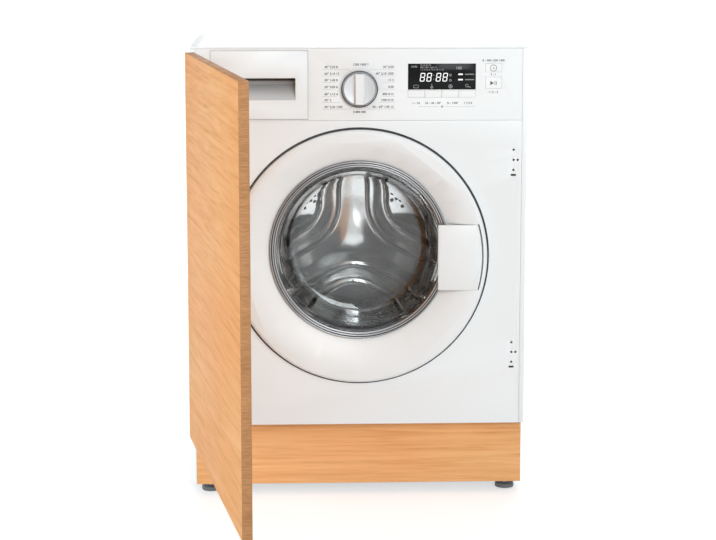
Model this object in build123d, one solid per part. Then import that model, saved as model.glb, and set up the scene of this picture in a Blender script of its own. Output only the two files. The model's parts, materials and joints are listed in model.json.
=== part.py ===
from build123d import *
import math
import os

# Built-in washing machine with an oak decor door and plinth board.
# Millimetres, +Z up, +Y to the back, X to the right as the user sees it.
# The working frame has the white front at y = 0 and the floor at z = 0.
# write() then moves every piece back by FRONT_Y, so that the stored origin is under
# the middle of the whole object, with its decor door open.

# Casing
CASE_W = 595.0
CASE_H = 820.0
CASE_D = 544.0
HALF_W = CASE_W / 2
K = CASE_H / 820  # heights, and what is round in the casing, follow its height
SHEET = 1.2
TOP_EDGE = 4.0  # depth of the lid's edge above the fascia
FASCIA_H = 127.0 * K
SEAM = 0.5  # shut line between neighbouring front panels
FRONT_FOLD = 9.0  # side panel's folded lip at the front
REAR_FOLD = 20.0
REAR_INSET = 24.0  # back panel stands this far in, so that fittings stay within the depth
REAR_Y = CASE_D - REAR_INSET
FLOOR_GAP = 20.0  # air under the plinth board
PLINTH_H = 117.6 * K
PLINTH_T = 16.0
PLINTH_INSET = 25.0
PLINTH_SIDE = 1.5  # the plinth board is this much shorter than the casing at each end

# Decor door
DECOR_W = 596.0
DECOR_T = 16.0
DECOR_BOTTOM = FLOOR_GAP + PLINTH_H - 16.6
DECOR_H = CASE_H - DECOR_BOTTOM - 9.0
DECOR_GAP = 22.0  # white front to the closed door's back
DECOR_OPEN = 79.5  # degrees, as stored
HINGE_FROM_EDGE = 10.0  # decor hinge axis to the door's edge
HINGE_ZS = (268.3 * K, 617.7 * K)
CUP_R = 17.5
CUP_DEPTH = 11.0
CUP_FROM_EDGE = 23.0
KNUCKLE_R = 4.0
DECOR_PIN_R = 2.0
HOLE_X = HALF_W - 23.5  # spare hinge holes on the right of the front
HOLE_PITCH = 18.0
HOLE_R = 2.0

# Porthole door
RING_Z = 445.0 * K
RING_R = 228.0 * K
RING_FRONT = -14.0
RING_BACK = 8.0
DISH_R = RING_R - 24.0
GLASS_Z = RING_Z + 11.0  # the glass stands a little above the ring's centre
GLASS_R = 161.0 * K
BOWL_R = GLASS_R - 11.0
BOWL_END_R = GLASS_R - 43.0
BOWL_DEPTH = 80.0
GLASS_T = 4.0
INNER_RING_T = 5.0
RECESS_R = RING_R + 3.0
RECESS_DEPTH = 14.0
MOUTH_R = GLASS_R + 11.0
COLLAR_END = 32.0  # depth of the collar round the mouth
PORT_AXIS_X = -RING_R - 10.0
PORT_AXIS_Y = -8.0
PORT_PIN_R = 3.0
HANDLE_X = (RING_R - 88.3, RING_R - 10.0)
HANDLE_Z = (RING_Z - 59.0, RING_Z + 58.0)
HANDLE_AXIS = (RING_R - 24.0, -10.0)
HANDLE_FRONT = -18.0
HOOK_AXIS = (RING_R - 32.0, 5.0)
HOOK_SLOT = (HOOK_AXIS[0] - 9.5, HOOK_AXIS[0] + 11.0)

# Control fascia
FASCIA_T = 3.0
KNOB_X = 0.0
KNOB_Z = 745.0 * K
KNOB_R = 32.5
KNOB_FRONT = -17.0
DISPLAY_X = (85.4, 205.5)
DISPLAY_Z = (743.3 * K, 789.3 * K)
KEY_Z = (729.4 * K, 742.2 * K)
KEY_COUNT = 4
BUTTON_X = (222.3, 251.6)
POWER_Z = (774.0 * K, 789.7 * K)
START_Z = (745.0 * K, 765.5 * K)
TRAVEL_ROOM = 1.5  # keys can sink this far before they meet their switches

# Detergent drawer
DRAWER_X = (35.5 - HALF_W, -91.0)
DRAWER_TOP = CASE_H - 7.5
GRIP_X = (DRAWER_X[0] + 21.0, DRAWER_X[1] - 22.0)
GRIP_Z = (724.0 * K, 764.0 * K)
GRIP_DEPTH = 24.0
TRAY_END = 245.0
TRAY_H = 56.0
TRAY_Z = 706.0 * K
TRAY_X = (DRAWER_X[0] + 7.0, DRAWER_X[1] - 6.0)
HOUSING_BACK = 302.5

# Drum and tub
DRUM_Z = 415.0 * K
DRUM_R = 236.0 * K
DRUM_SHEET = 1.2
DRUM_FRONT = 94.0
TUB_BACK = REAR_Y - 110.0
DRUM_BACK = TUB_BACK - 12.0
DRUM_MOUTH_R = 179.0 * K
STAR_FRONT = DRUM_BACK - 42.0
STAR_DEPTH = 14.0
STAR_REACH = DRUM_R - 31.0
TUB_R = 255.0 * K
TUB_WALL = 4.0
TUB_FRONT = 84.0
TUB_SPLIT = 200.0
TUB_FLANGE = 8.0
NECK_R = DRUM_MOUTH_R + 3.0
SHAFT_R = 15.0
SHAFT_END_R = 12.5
BEARING_R = 31.0
REAR_BEARING_R = 26.0
HUB_END = TUB_BACK + 55.0

# Drive
PULLEY_R = 140.0
MOTOR_PULLEY_R = 10.0
PULLEY_Y = (HUB_END + 7.0, HUB_END + 21.0)
SHAFT_END = PULLEY_Y[1] + 6.0
BELT_T = 3.0
MOTOR_X = 110.0 * K
MOTOR_Z = 105.0 * K
MOTOR_R = 58.0
MOTOR_Y = (TUB_BACK - 110.0, TUB_BACK + 45.0)
MOTOR_LUG_YS = (MOTOR_Y[0] + 15.0, MOTOR_Y[0] + 75.0)
LUG_T = 15.0

# Feet and clearances
FOOT_X = HALF_W - 26.5
FOOT_YS = (62.0, CASE_D - 54.0)
FOOT_PAD_R = 17.5
FOOT_STEM_R = 5.0
RUN = 0.08  # radial room of a pin or shaft in its hole
FREE = 0.3  # room between pieces that only lie beside each other

FASCIA_TOP = CASE_H - TOP_EDGE
FASCIA_BOTTOM = FASCIA_TOP - FASCIA_H
PLINTH_TOP = FLOOR_GAP + PLINTH_H
PANEL_X = HALF_W - FRONT_FOLD - FREE
DECOR_LEFT = -DECOR_W / 2
DECOR_AXIS = (DECOR_LEFT + HINGE_FROM_EDGE, -DECOR_GAP)
DECOR_REACH = DECOR_GAP + (DECOR_W - HINGE_FROM_EDGE) * math.sin(math.radians(DECOR_OPEN))
DECOR_REACH += DECOR_T * math.cos(math.radians(DECOR_OPEN))
FRONT_Y = (DECOR_REACH - CASE_D) / 2
DRUM_IN = DRUM_R - DRUM_SHEET
HOSE_XY = (-150.0, 230.0)  # the dispenser's outlet over the tub's inlet
HOSE_END = DRUM_Z + 249.0 * K  # top of the tub's inlet
SUMP_XY = (60.0, 230.0)
SUMP_END = DRUM_Z - TUB_R - 20.0
FILTER_X, FILTER_Z = HALF_W - 82.5, 80.0
PUMP_OUT = (FILTER_X + 35.0, 120.0)
VALVE_X, VALVE_Z = HALF_W - 97.5, CASE_H - 45.0
VALVE_Y = REAR_Y - 65.0  # the valve's front end
DRAIN_X, DRAIN_Z = HALF_W - 42.5, 650.0 * K
INLET_COLLAR_R, DRAIN_COLLAR_R = 17.0, 14.0
FITTING_Y = REAR_Y + 5.0  # where the inlet's thread and the spigot start
GLAND = (67.5 - HALF_W, 680.0 * K)
COVER_W, COVER_H = 340.0, 360.0
COVER_Z = DRUM_Z + 5.0
HEATER_Z = 172.0 * K
SPRING_X, SPRING_Y = 225.0 * K, 330.0
SPRING_FOOT, SPRING_TOP = 562.0 * K, CASE_H - 30.0
DAMPER_TOP = (170.0 * K, 179.0 * K)
DAMPER_FOOT = (238.0 * K, 69.0)
DAMPER_Y = 250.0
SWITCH_Y = 9.0  # front of the key switches
BOARD_Y = 22.0


def block(x0, x1, y0, y1, z0, z1):
    """A box between its low and high corners."""
    centre = Pos((x0 + x1) / 2, (y0 + y1) / 2, (z0 + z1) / 2)
    return centre * Box(x1 - x0, y1 - y0, z1 - z0)


def disc(x, z, r, y0, y1):
    """A round bar that lies front to back."""
    return Pos(x, (y0 + y1) / 2, z) * Rot(90, 0, 0) * Cylinder(r, y1 - y0)


def ring(x, z, r_out, r_in, y0, y1):
    """A flat ring that faces the front."""
    return disc(x, z, r_out, y0, y1) - disc(x, z, r_in, y0 - 1, y1 + 1)


def post(x, y, r, z0, z1):
    """An upright round bar."""
    return Pos(x, y, (z0 + z1) / 2) * Cylinder(r, z1 - z0)


def turned(x, z, points):
    """A profile of (radius, depth) points turned about a front-to-back axis."""
    return Pos(x, 0, z) * revolve(make_face(Polyline(*points, close=True)), Axis.Y)


def prism_y(points, y0, y1):
    """A flat outline of (x, z) points, drawn out from y0 to y1."""
    face = make_face(Polyline(*points, close=True))
    return Pos(0, y1, 0) * Rot(90, 0, 0) * extrude(face, y1 - y0)


def prism_x(points, x0, x1):
    """A side outline of (y, z) points, drawn out from x0 to x1."""
    face = make_face(Plane.YZ * Polyline(*points, close=True))
    return Pos(x0, 0, 0) * extrude(face, x1 - x0, dir=(1, 0, 0))


def cone_y(x0, z0, r0, y0, x1, z1, r1, y1):
    """A slanted cone between two circles that face the front."""
    first = Pos(x0, y0, z0) * Rot(90, 0, 0) * Circle(r0)
    last = Pos(x1, y1, z1) * Rot(90, 0, 0) * Circle(r1)
    return loft([first, last], ruled=True)


def rod(p, q, r):
    """A round bar from point p to point q."""
    path = Line(p, q)
    return sweep(Plane(origin=p, z_dir=path % 0) * Circle(r), path)


def hose(points, radii, r_out, r_in):
    """A hose along straight runs joined by arcs."""
    path = FilletPolyline(*points, radius=radii)
    start = Plane(origin=points[0], z_dir=path % 0)
    return sweep(start * Circle(r_out), path) - sweep(start * Circle(r_in), path)


def mirrored(shape):
    return mirror(shape, about=Plane.YZ)


def write(name, *solids):
    """Store one named piece, or a group of like pieces, in the part's own frame."""
    placed = [Pos(0, FRONT_Y, 0) * s for s in solids]
    shape = placed[0] if len(placed) == 1 else Compound(children=placed)
    os.makedirs("parts", exist_ok=True)
    export_step(shape, f"parts/{name}.step")


def side_panel():
    """The right side: one pressed sheet with folded lips and a cut-out for the plinth."""
    toe = PLINTH_INSET + PLINTH_T + FREE
    wall = block(HALF_W - SHEET, HALF_W, 0, CASE_D, FLOOR_GAP + 4, FASCIA_TOP)
    wall -= block(HALF_W - 5, HALF_W + 5, -5, toe, 0, PLINTH_TOP)
    front = block(HALF_W - FRONT_FOLD, HALF_W, 0, SHEET, PLINTH_TOP, FASCIA_TOP)
    inner = HALF_W - REAR_FOLD
    rear = block(inner, HALF_W, REAR_Y - SHEET, REAR_Y, FLOOR_GAP + 4, FASCIA_TOP)
    top = block(inner, HALF_W, 0, REAR_Y, FASCIA_TOP - SHEET, FASCIA_TOP)
    top -= block(inner - 1, HALF_W - SHEET, -1, 30, FASCIA_TOP - 3, FASCIA_TOP + 1)
    y0, y1 = SPRING_Y - 15, SPRING_Y + 15
    hanger = block(SPRING_X - 10, HALF_W, y0, y1, SPRING_TOP, SPRING_TOP + 3)
    return wall + front + rear + top + hanger


def rear_panel():
    """Back sheet with a service opening and holes for the water and mains fittings."""
    edge = HALF_W - SHEET - FREE
    sheet = block(-edge, edge, REAR_Y, REAR_Y + SHEET, FLOOR_GAP + 6, FASCIA_TOP - 1)
    x, z = COVER_W / 2 - 20, COVER_H / 2 - 20
    sheet -= block(-x, x, REAR_Y - 1, REAR_Y + 3, COVER_Z - z, COVER_Z + z)
    sheet -= disc(VALVE_X, VALVE_Z, INLET_COLLAR_R + FREE, REAR_Y - 1, REAR_Y + 3)
    sheet -= disc(DRAIN_X, DRAIN_Z, DRAIN_COLLAR_R + FREE, REAR_Y - 1, REAR_Y + 3)
    sheet -= disc(*GLAND, 9.3, REAR_Y - 1, REAR_Y + 3)
    return sheet


def rear_access_cover():
    """Service plate with a raised frame round a field of vent slats."""
    x, y, z = COVER_W / 2, REAR_Y + SHEET, COVER_H / 2
    plate = block(-x, x, y, y + SHEET, COVER_Z - z, COVER_Z + z)
    x, z = x - 50, z - 60
    plate += block(-x, x, y, y + 5, COVER_Z - z, COVER_Z + z)
    x, z = x - 4, z - 4
    plate -= block(-x, x, y - 1, y + 6, COVER_Z - z, COVER_Z + z)
    pitch = 2 * z / 11.5
    for i in range(12):
        low = COVER_Z - z + i * pitch
        plate += block(-x - 1, x + 1, y, y + SHEET, low, low + pitch / 2)
    return plate


def top_cover():
    plate = block(-HALF_W, HALF_W, 0, CASE_D, CASE_H - SHEET, CASE_H)
    edge = block(-HALF_W, HALF_W, 0, SHEET, FASCIA_TOP + 0.2, CASE_H)
    back = block(-HALF_W, HALF_W, CASE_D - SHEET, CASE_D, FASCIA_TOP + 0.2, CASE_H)
    bearer = block(HALF_W - REAR_FOLD, HALF_W - 8, 35, REAR_Y, FASCIA_TOP, CASE_H)
    return plate + edge + back + bearer + mirrored(bearer)


def hinge_holes():
    """Holes for a decor hinge on the right: three in a row, one beside, one slot below."""
    x, pitch, r = HOLE_X, HOLE_PITCH, HOLE_R
    holes = []
    for z in HINGE_ZS:
        for dz in (-pitch, 0, pitch):
            holes.append(disc(x, z + dz, r, -1, SHEET + 1))
        holes.append(disc(x + 7.3, z, r, -1, SHEET + 1))
        low = z - 1.5 * pitch
        holes.append(block(x - 4.5, x + 4.5, -1, SHEET + 1, low - 1.7, low + 1.7))
    return holes


def front_panel():
    """White front sheet with a round recess, the drum's mouth and the lock's slot."""
    top = FASCIA_BOTTOM - SEAM
    sheet = block(-PANEL_X, PANEL_X, 0, SHEET, PLINTH_TOP, top)
    sheet += block(-PANEL_X, PANEL_X, 0, 20, PLINTH_TOP, PLINTH_TOP + SHEET)
    sheet += block(-PANEL_X, PANEL_X, 0, 12, top - SHEET, top)
    sheet += disc(0, RING_Z, RECESS_R + SHEET, 0, RECESS_DEPTH + SHEET)
    sheet -= disc(0, RING_Z, RECESS_R, -1, RECESS_DEPTH)
    sheet += disc(0, GLASS_Z, MOUTH_R + SHEET, RECESS_DEPTH, COLLAR_END)
    sheet -= disc(0, GLASS_Z, MOUTH_R, -1, COLLAR_END + 1)
    x0, x1 = HOOK_AXIS[0] - 12, HOOK_AXIS[0] + 20
    sheet -= block(x0, x1, -1, RECESS_DEPTH + 4, RING_Z - 11, RING_Z + 11)
    for hole in hinge_holes():
        sheet -= hole
    return sheet


def base_tray():
    """Pressed floor with turned-up edges, foot bosses and brackets."""
    x, y0, y1 = HALF_W - SHEET - FREE, 45.0, REAR_Y - SHEET - FREE
    floor = block(-x, x, y0, y1, 28, 30) - block(-150, 40, 140, REAR_Y - 100, 27, 31)
    edges = block(-x, x, y0, y1, 28, 58) - block(2 - x, x - 2, y0 + 2, y1 - 2, 27, 59)
    edges -= block(-x - 1, x + 1, y0 - 1, y0 + 3, 43, 59)
    tray = floor + edges
    tab = block(x - 96, x - 66, PLINTH_INSET + PLINTH_T, y0 + 1, 30, 43)
    x0, x1 = DAMPER_FOOT[0] - 10, DAMPER_FOOT[0] + 10
    damper = block(x0, x1, DAMPER_Y - 12, DAMPER_Y + 12, 29, DAMPER_FOOT[1] - 9)
    for piece in (tab, damper):
        tray += piece + mirrored(piece)
    for sx in (-1, 1):
        for y in FOOT_YS:
            tray += post(sx * FOOT_X, y, 11, 24, 40)
            tray -= post(sx * FOOT_X, y, FOOT_STEM_R + RUN, 20, 50)
    return tray + block(FILTER_X - 25, FILTER_X + 25, 70, 140, 29, FILTER_Z - 43)


def foot(x, y):
    """Levelling foot: rubber pad under a steel stem, with its lock nut under the tray."""
    nut = Pos(x, y, 18) * extrude(RegularPolygon(9.5, 6), 6)
    pad = post(x, y, FOOT_PAD_R, 0, 9)
    pad = chamfer(pad.edges().sort_by(Axis.Z)[-1], 2)
    return pad + post(x, y, FOOT_STEM_R, 8, 46) + nut


def plinth_board():
    x, high = HALF_W - PLINTH_SIDE, PLINTH_TOP - FREE
    return block(-x, x, PLINTH_INSET, PLINTH_INSET + PLINTH_T, FLOOR_GAP, high)


def key_limits():
    """The keys share the display's width."""
    width = (DISPLAY_X[1] - DISPLAY_X[0]) / KEY_COUNT
    return [(DISPLAY_X[0] + i * width, DISPLAY_X[0] + (i + 1) * width) for i in range(KEY_COUNT)]


def push_key(x, z, gap=FREE):
    """A key cap with its stem. Its skirt stops it behind the fascia."""
    cap = block(x[0] + gap, x[1] - gap, -0.6, 4.2, z[0] + gap, z[1] - gap)
    cap = fillet(cap.faces().sort_by(Axis.Y)[0].edges(), 0.5)
    middle_x, middle_z = sum(x) / 2, sum(z) / 2
    return cap + disc(middle_x, middle_z, 2.2, 4, SWITCH_Y - TRAVEL_ROOM)


def control_fascia():
    """White moulded fascia. Its drawer, knob, display and key openings are all through it."""
    wall = 2.5
    shell = block(-PANEL_X, PANEL_X, 0, 15, FASCIA_BOTTOM, FASCIA_TOP - 0.1)
    inside = (wall - PANEL_X, PANEL_X - wall, FASCIA_T, 16)
    shell -= block(*inside, FASCIA_BOTTOM + wall, FASCIA_TOP - wall)
    x0, x1 = DRAWER_X[0] - SEAM, DRAWER_X[1] + SEAM
    shell -= block(x0, x1, -1, 16, FASCIA_BOTTOM + 2, DRAWER_TOP + SEAM)
    shell -= disc(KNOB_X, KNOB_Z, 7, -1, 4)
    shell -= block(*DISPLAY_X, -1, 1.7, *DISPLAY_Z)
    inset = 3.0
    shell -= block(DISPLAY_X[0] + inset, DISPLAY_X[1] - inset, 0, 4,
                   DISPLAY_Z[0] + inset, DISPLAY_Z[1] - inset)
    for x in key_limits():
        shell -= block(x[0] + 0.1, x[1] - 0.1, -1, 4, *KEY_Z)
    shell -= block(*BUTTON_X, -1, 4, *POWER_Z)
    shell -= block(*BUTTON_X, -1, 4, *START_Z)
    for x in (-34, 70, 210, HALF_W - 35.5):
        shell += disc(x, FASCIA_BOTTOM + 23, 3, FASCIA_T - 0.5, BOARD_Y)
    return shell


def display_window():
    gap = 0.15
    pane = block(DISPLAY_X[0] + gap, DISPLAY_X[1] - gap, 0.2, 1.7,
                 DISPLAY_Z[0] + gap, DISPLAY_Z[1] - gap)
    return pane


def control_board():
    """Circuit board with the digit module, the key switches and the knob's selector."""
    x1, z0, z1 = HALF_W - 29.5, FASCIA_BOTTOM + 14, FASCIA_TOP - 16
    board = block(-40, x1, BOARD_Y, BOARD_Y + 1.6, z0, z1)
    board += block(DISPLAY_X[0] + 4, DISPLAY_X[1] - 4, 2.2, BOARD_Y,
                   DISPLAY_Z[0] + 5, DISPLAY_Z[1] - 4)
    for x, z in switch_places():
        board += block(x - 3, x + 3, SWITCH_Y, BOARD_Y, z - 3, z + 3)
    board += block(KNOB_X - 20, KNOB_X + 20, 6, BOARD_Y, KNOB_Z - 20, KNOB_Z + 20)
    return board - disc(KNOB_X, KNOB_Z, 3 + RUN, 5, BOARD_Y - 1)


def switch_places():
    middle = sum(BUTTON_X) / 2
    places = [(sum(x) / 2, sum(KEY_Z) / 2) for x in key_limits()]
    return places + [(middle, sum(POWER_Z) / 2), (middle, sum(START_Z) / 2)]


def programme_knob():
    """Round knob with a raised grip bar, on a shaft in the selector."""
    base = disc(KNOB_X, KNOB_Z, KNOB_R, -8, -1)
    base = fillet(base.faces().sort_by(Axis.Y)[0].edges(), 2)
    grip = block(KNOB_X - 9.5, KNOB_X + 9.5, KNOB_FRONT, -7, KNOB_Z - 27, KNOB_Z + 27)
    grip = fillet(grip.edges().filter_by(Axis.Y), 6)
    grip = fillet(grip.faces().sort_by(Axis.Y)[0].edges(), 1.5)
    shaft = disc(KNOB_X, KNOB_Z, 3, -2, BOARD_Y - 2)
    return base + grip + shaft


def grip_scoop(grow):
    """The finger recess in the drawer front, deep at its top. Grow gives its outer skin."""
    low, high = GRIP_Z[0] - grow, GRIP_Z[1]
    lip = 5 + grow
    depth = GRIP_DEPTH + grow
    points = [(-1, low), (0, low), (lip, low + 8), (depth, low + 28),
              (depth, high + 5 + grow), (4 - grow, high + 5 + grow), (4 - grow, high), (-1, high)]
    return prism_x(points, GRIP_X[0] - grow, GRIP_X[1] + grow)


def drawer_front():
    """Front plate with its finger recess moulded in."""
    low = FASCIA_BOTTOM + 2 + SEAM
    plate = block(*DRAWER_X, 0, 3, low, DRAWER_TOP)
    skin = grip_scoop(2.2) & block(*DRAWER_X, 2, 40, low, DRAWER_TOP)
    return plate + skin - grip_scoop(0)


def drawer_tray():
    """Open tray with three compartments, as plates that meet edge to edge."""
    wall = 2.0
    x0, x1 = TRAY_X
    y0, y1 = GRIP_DEPTH + 5, TRAY_END
    low, top = TRAY_Z + wall, TRAY_Z + TRAY_H
    plates = [block(x0 + wall, x1 - wall, y0, y1, TRAY_Z, low)]
    for x in (x0, x1 - wall):
        plates.append(block(x, x + wall, 3, y1, TRAY_Z, top))
    for y in (y0, y1 - wall):
        plates.append(block(x0 + wall, x1 - wall, y, y + wall, low, top))
    for x in (x0 + 60, x1 - 54):
        plates.append(block(x, x + wall, y0 + wall, y1 - wall, low, top))
    return plates


def dispenser_housing():
    """Box behind the fascia that the tray slides into, with its outlet spigot below."""
    wall = 2.5
    x0, x1 = DRAWER_X[0] + 2, DRAWER_X[1] - 1
    z0, z1 = TRAY_Z - 4, DRAWER_TOP - 6.5
    back = HOUSING_BACK
    box = block(x0 - wall, x1 + wall, 5, back, z0 - wall, z1 + wall)
    flange = block(x0 - 14, x1 + 14, FASCIA_T + FREE, 5.5, z0 - 10, z1 + 6)
    box += flange
    box -= block(x0, x1, 0, back - wall, z0, z1)
    box += post(*HOSE_XY, 20, z0 - 17, z0 - 1)
    box -= post(*HOSE_XY, 17, z0 - 22, z0 + 1)
    box -= disc(sum(TRAY_X) / 2, VALVE_Z, 6, back - 5, back + 1)
    return box


def inlet_valve():
    """Solenoid valve with its three-quarter inch threaded inlet at the back."""
    y = VALVE_Y
    body = block(VALVE_X - 20, VALVE_X + 20, y + 15, REAR_Y - 3, VALVE_Z - 20, VALVE_Z + 20)
    plate = block(VALVE_X - 25, VALVE_X + 25, REAR_Y - 3, REAR_Y, VALVE_Z - 24, VALVE_Z + 24)
    plate += disc(VALVE_X, VALVE_Z, INLET_COLLAR_R, REAR_Y - 1, FITTING_Y)
    inlet = disc(VALVE_X, VALVE_Z, 13.2, FITTING_Y - 1, CASE_D)
    coil = post(VALVE_X, y + 35, 13, VALVE_Z - 50, VALVE_Z - 19)
    body = body + plate + inlet + coil + disc(VALVE_X, VALVE_Z, 8, y, y + 16)
    return body - disc(VALVE_X, VALVE_Z, 9.5, REAR_Y + 2, CASE_D + 1)


def fill_hose():
    x, y, z = sum(TRAY_X) / 2, VALVE_Y - 55, VALVE_Z
    points = [(VALVE_X, VALVE_Y, z), (VALVE_X, y, z), (x, y, z), (x, HOUSING_BACK, z)]
    return hose(points, 24, 8, 6)


def dispenser_hose():
    z0, z1 = HOSE_END - 12, TRAY_Z - 7
    return post(*HOSE_XY, 23, z0, z1) - post(*HOSE_XY, 20.1, z0 - 1, z1 + 1)


def tub_front():
    """Front half of the tub, with the neck that carries the rubber bellows."""
    r, t, y = TUB_R, TUB_WALL, TUB_FRONT
    points = [(r + TUB_FLANGE, TUB_SPLIT), (r + TUB_FLANGE, TUB_SPLIT - 6), (r, TUB_SPLIT - 6),
              (r, y + 16), (r - 12, y + 2), (NECK_R + 5, y), (NECK_R + 5, y - 18),
              (NECK_R, y - 18), (NECK_R, y + 4), (r - 13, y + 6), (r - t, y + 18),
              (r - t, TUB_SPLIT)]
    return turned(0, DRUM_Z, points)


def tub_rear():
    """Rear half of the tub, with the bearing hub and the lugs that carry it."""
    r, t, y = TUB_R, TUB_WALL, TUB_BACK
    inner = y - 6
    points = [(r + TUB_FLANGE, TUB_SPLIT), (r + TUB_FLANGE, TUB_SPLIT + 6), (r, TUB_SPLIT + 6),
              (r, y - 7), (r - 7, y), (48, y), (48, HUB_END), (REAR_BEARING_R, HUB_END),
              (REAR_BEARING_R, HUB_END - 15), (22, HUB_END - 15), (22, y + 18),
              (BEARING_R, y + 18), (BEARING_R, inner), (r - 14, inner), (r - t, inner - 10),
              (r - t, TUB_SPLIT)]
    tub = turned(0, DRUM_Z, points)
    hanger = block(SPRING_X - 9, SPRING_X + 11, SPRING_Y - 10, SPRING_Y + 10,
                   SPRING_FOOT - 40, SPRING_FOOT)
    x, z = DAMPER_TOP
    damper = block(x - 18, x + 10, DAMPER_Y - 10, DAMPER_Y + 10, z + 9, z + 62)
    for lug in (hanger, damper):
        tub += lug + mirrored(lug)
    for y0 in MOTOR_LUG_YS:
        low = MOTOR_Z + MOTOR_R + 0.2
        tub += block(MOTOR_X - 15, MOTOR_X + 15, y0, y0 + LUG_T, low, low + 40)
    tub += post(*HOSE_XY, 20, DRUM_Z + 0.7 * r, HOSE_END)
    tub += post(*SUMP_XY, 18, SUMP_END, DRUM_Z - 0.9 * r)
    tub -= disc(0, DRUM_Z, r - t, TUB_SPLIT, inner - 10)
    tub -= post(*HOSE_XY, 17, DRUM_Z + 0.7 * r, HOSE_END + 1)
    tub -= post(*SUMP_XY, 15, SUMP_END - 1, DRUM_Z - 0.9 * r)
    for x in (-40, 40):
        tub -= disc(x, HEATER_Z, 3.7, y - 20, y + 1)
    return tub


def door_gasket():
    """Rubber bellows from the casing's mouth back to the tub's neck."""
    wall = 3.6
    front_r = MOUTH_R - FREE
    neck_r = NECK_R + 5
    rear_r = neck_r + 0.2 + wall
    neck_y = TUB_FRONT - 18
    lip_r = BOWL_R + FREE
    lip, bend = RECESS_DEPTH + 2, COLLAR_END + 2
    outer = disc(0, GLASS_Z, front_r, lip, bend)
    outer += cone_y(0, GLASS_Z, front_r, bend, 0, DRUM_Z, rear_r, neck_y)
    outer += disc(0, DRUM_Z, rear_r, neck_y, TUB_FRONT - 3)
    bore = disc(0, GLASS_Z, front_r - wall, lip + 3, bend)
    bore += cone_y(0, GLASS_Z, front_r - wall, bend, 0, DRUM_Z, rear_r - wall, neck_y)
    bore += disc(0, DRUM_Z, rear_r - wall, neck_y, TUB_FRONT)
    return outer - bore - disc(0, GLASS_Z, lip_r, lip - 1, lip + 4)


def front_counterweight():
    return ring(0, DRUM_Z, TUB_R - 12, NECK_R + 20, 57, TUB_FRONT)


def top_counterweight():
    slab = block(-60, 150, TUB_SPLIT + 10, TUB_BACK - 25, DRUM_Z + 0.87 * TUB_R, DRUM_Z + TUB_R + 38)
    return slab - disc(0, DRUM_Z, TUB_R + 0.2, TUB_SPLIT, TUB_BACK)


def suspension_spring():
    """Coil spring as a sleeve, with its two hooked ends, from the tub's lug to the side."""
    coil = post(SPRING_X, SPRING_Y, 14, SPRING_FOOT + 14, SPRING_TOP - 24)
    coil -= post(SPRING_X, SPRING_Y, 10, SPRING_FOOT + 18, SPRING_TOP - 28)
    return coil + post(SPRING_X, SPRING_Y, 2.5, SPRING_FOOT, SPRING_FOOT + 15) + post(
        SPRING_X, SPRING_Y, 2.5, SPRING_TOP - 25, SPRING_TOP)


def shock_absorber():
    """Damper between the tub's lower lug and the base tray, with an eye at each end."""
    y, top, foot_end = DAMPER_Y, DAMPER_TOP, DAMPER_FOOT
    middle = [(a + b) / 2 for a, b in zip(top, foot_end)]
    eyes = disc(*top, 8.8, y - 10, y + 10) + disc(*foot_end, 8.8, y - 10, y + 10)
    upper = rod((top[0], y, top[1]), (middle[0], y, middle[1]), 5)
    lower = rod((middle[0], y, middle[1]), (foot_end[0], y, foot_end[1]), 12)
    return eyes + upper + lower


def drum_bearing(r_out, r_in, y0, width):
    return ring(0, DRUM_Z, r_out, r_in + RUN / 2, y0, y0 + width)


def motor_housing():
    body = disc(MOTOR_X, MOTOR_Z, MOTOR_R, *MOTOR_Y)
    body = chamfer(body.edges().sort_by(Axis.Y)[0], 6)
    x, z = MOTOR_X, MOTOR_Z
    for y0 in MOTOR_LUG_YS:
        body += block(x - 13, x + 13, y0, y0 + LUG_T, z + 35, z + MOTOR_R)
    return body - disc(x, z, 6 + RUN, MOTOR_Y[1] - 35, MOTOR_Y[1] + 1)


def motor_pulley():
    """Rotor shaft end with its small belt pulley."""
    shaft = disc(MOTOR_X, MOTOR_Z, 6, MOTOR_Y[1] - 34, PULLEY_Y[0] + 1)
    return shaft + disc(MOTOR_X, MOTOR_Z, MOTOR_PULLEY_R, *PULLEY_Y)


def belt_outline(grow, y0, y1):
    """The region inside a belt round both pulleys, grown outwards."""
    dx, dz = MOTOR_X, MOTOR_Z - DRUM_Z
    span = math.hypot(dx, dz)
    lean = math.acos((PULLEY_R - MOTOR_PULLEY_R) / span)
    heading = math.atan2(dz, dx)
    big, small = PULLEY_R + grow, MOTOR_PULLEY_R + grow
    corners = []
    for turn, r, x, z in ((lean, big, 0, DRUM_Z), (lean, small, MOTOR_X, MOTOR_Z),
                          (-lean, small, MOTOR_X, MOTOR_Z), (-lean, big, 0, DRUM_Z)):
        corners.append((x + r * math.cos(heading + turn), z + r * math.sin(heading + turn)))
    region = prism_y(corners, y0, y1)
    return region + disc(0, DRUM_Z, big, y0, y1) + disc(MOTOR_X, MOTOR_Z, small, y0, y1)


def drive_belt():
    y0, y1 = PULLEY_Y[0] + 2, PULLEY_Y[1] - 2
    return belt_outline(FREE + BELT_T, y0, y1) - belt_outline(FREE, y0 - 1, y1 + 1)


def heating_element():
    """Hairpin heater low in the tub, entering through its back."""
    z, r = HEATER_Z, 3.5
    plate = block(-52, 52, TUB_BACK + 0.2, TUB_BACK + 4, z - 14, z + 14)
    y = TUB_BACK + 1
    path = FilletPolyline((-40, y, z), (-40, 150, z), (40, 150, z), (40, y, z), radius=30)
    tube = sweep(Plane(origin=(-40, y, z), z_dir=path % 0) * Circle(r), path)
    return plate + tube


def drain_pump():
    x, z = FILTER_X, FILTER_Z
    body = disc(x, z, 43, 55, 150) + disc(x, z, 28, 149, 190)
    body -= disc(x, z, 24 + FREE, 50, 105)
    inlet = Pos((x - 45), 110, z) * Rot(0, 90, 0) * Cylinder(18, 20)
    return body + inlet + post(*PUMP_OUT, 9, z, 125)


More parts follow.
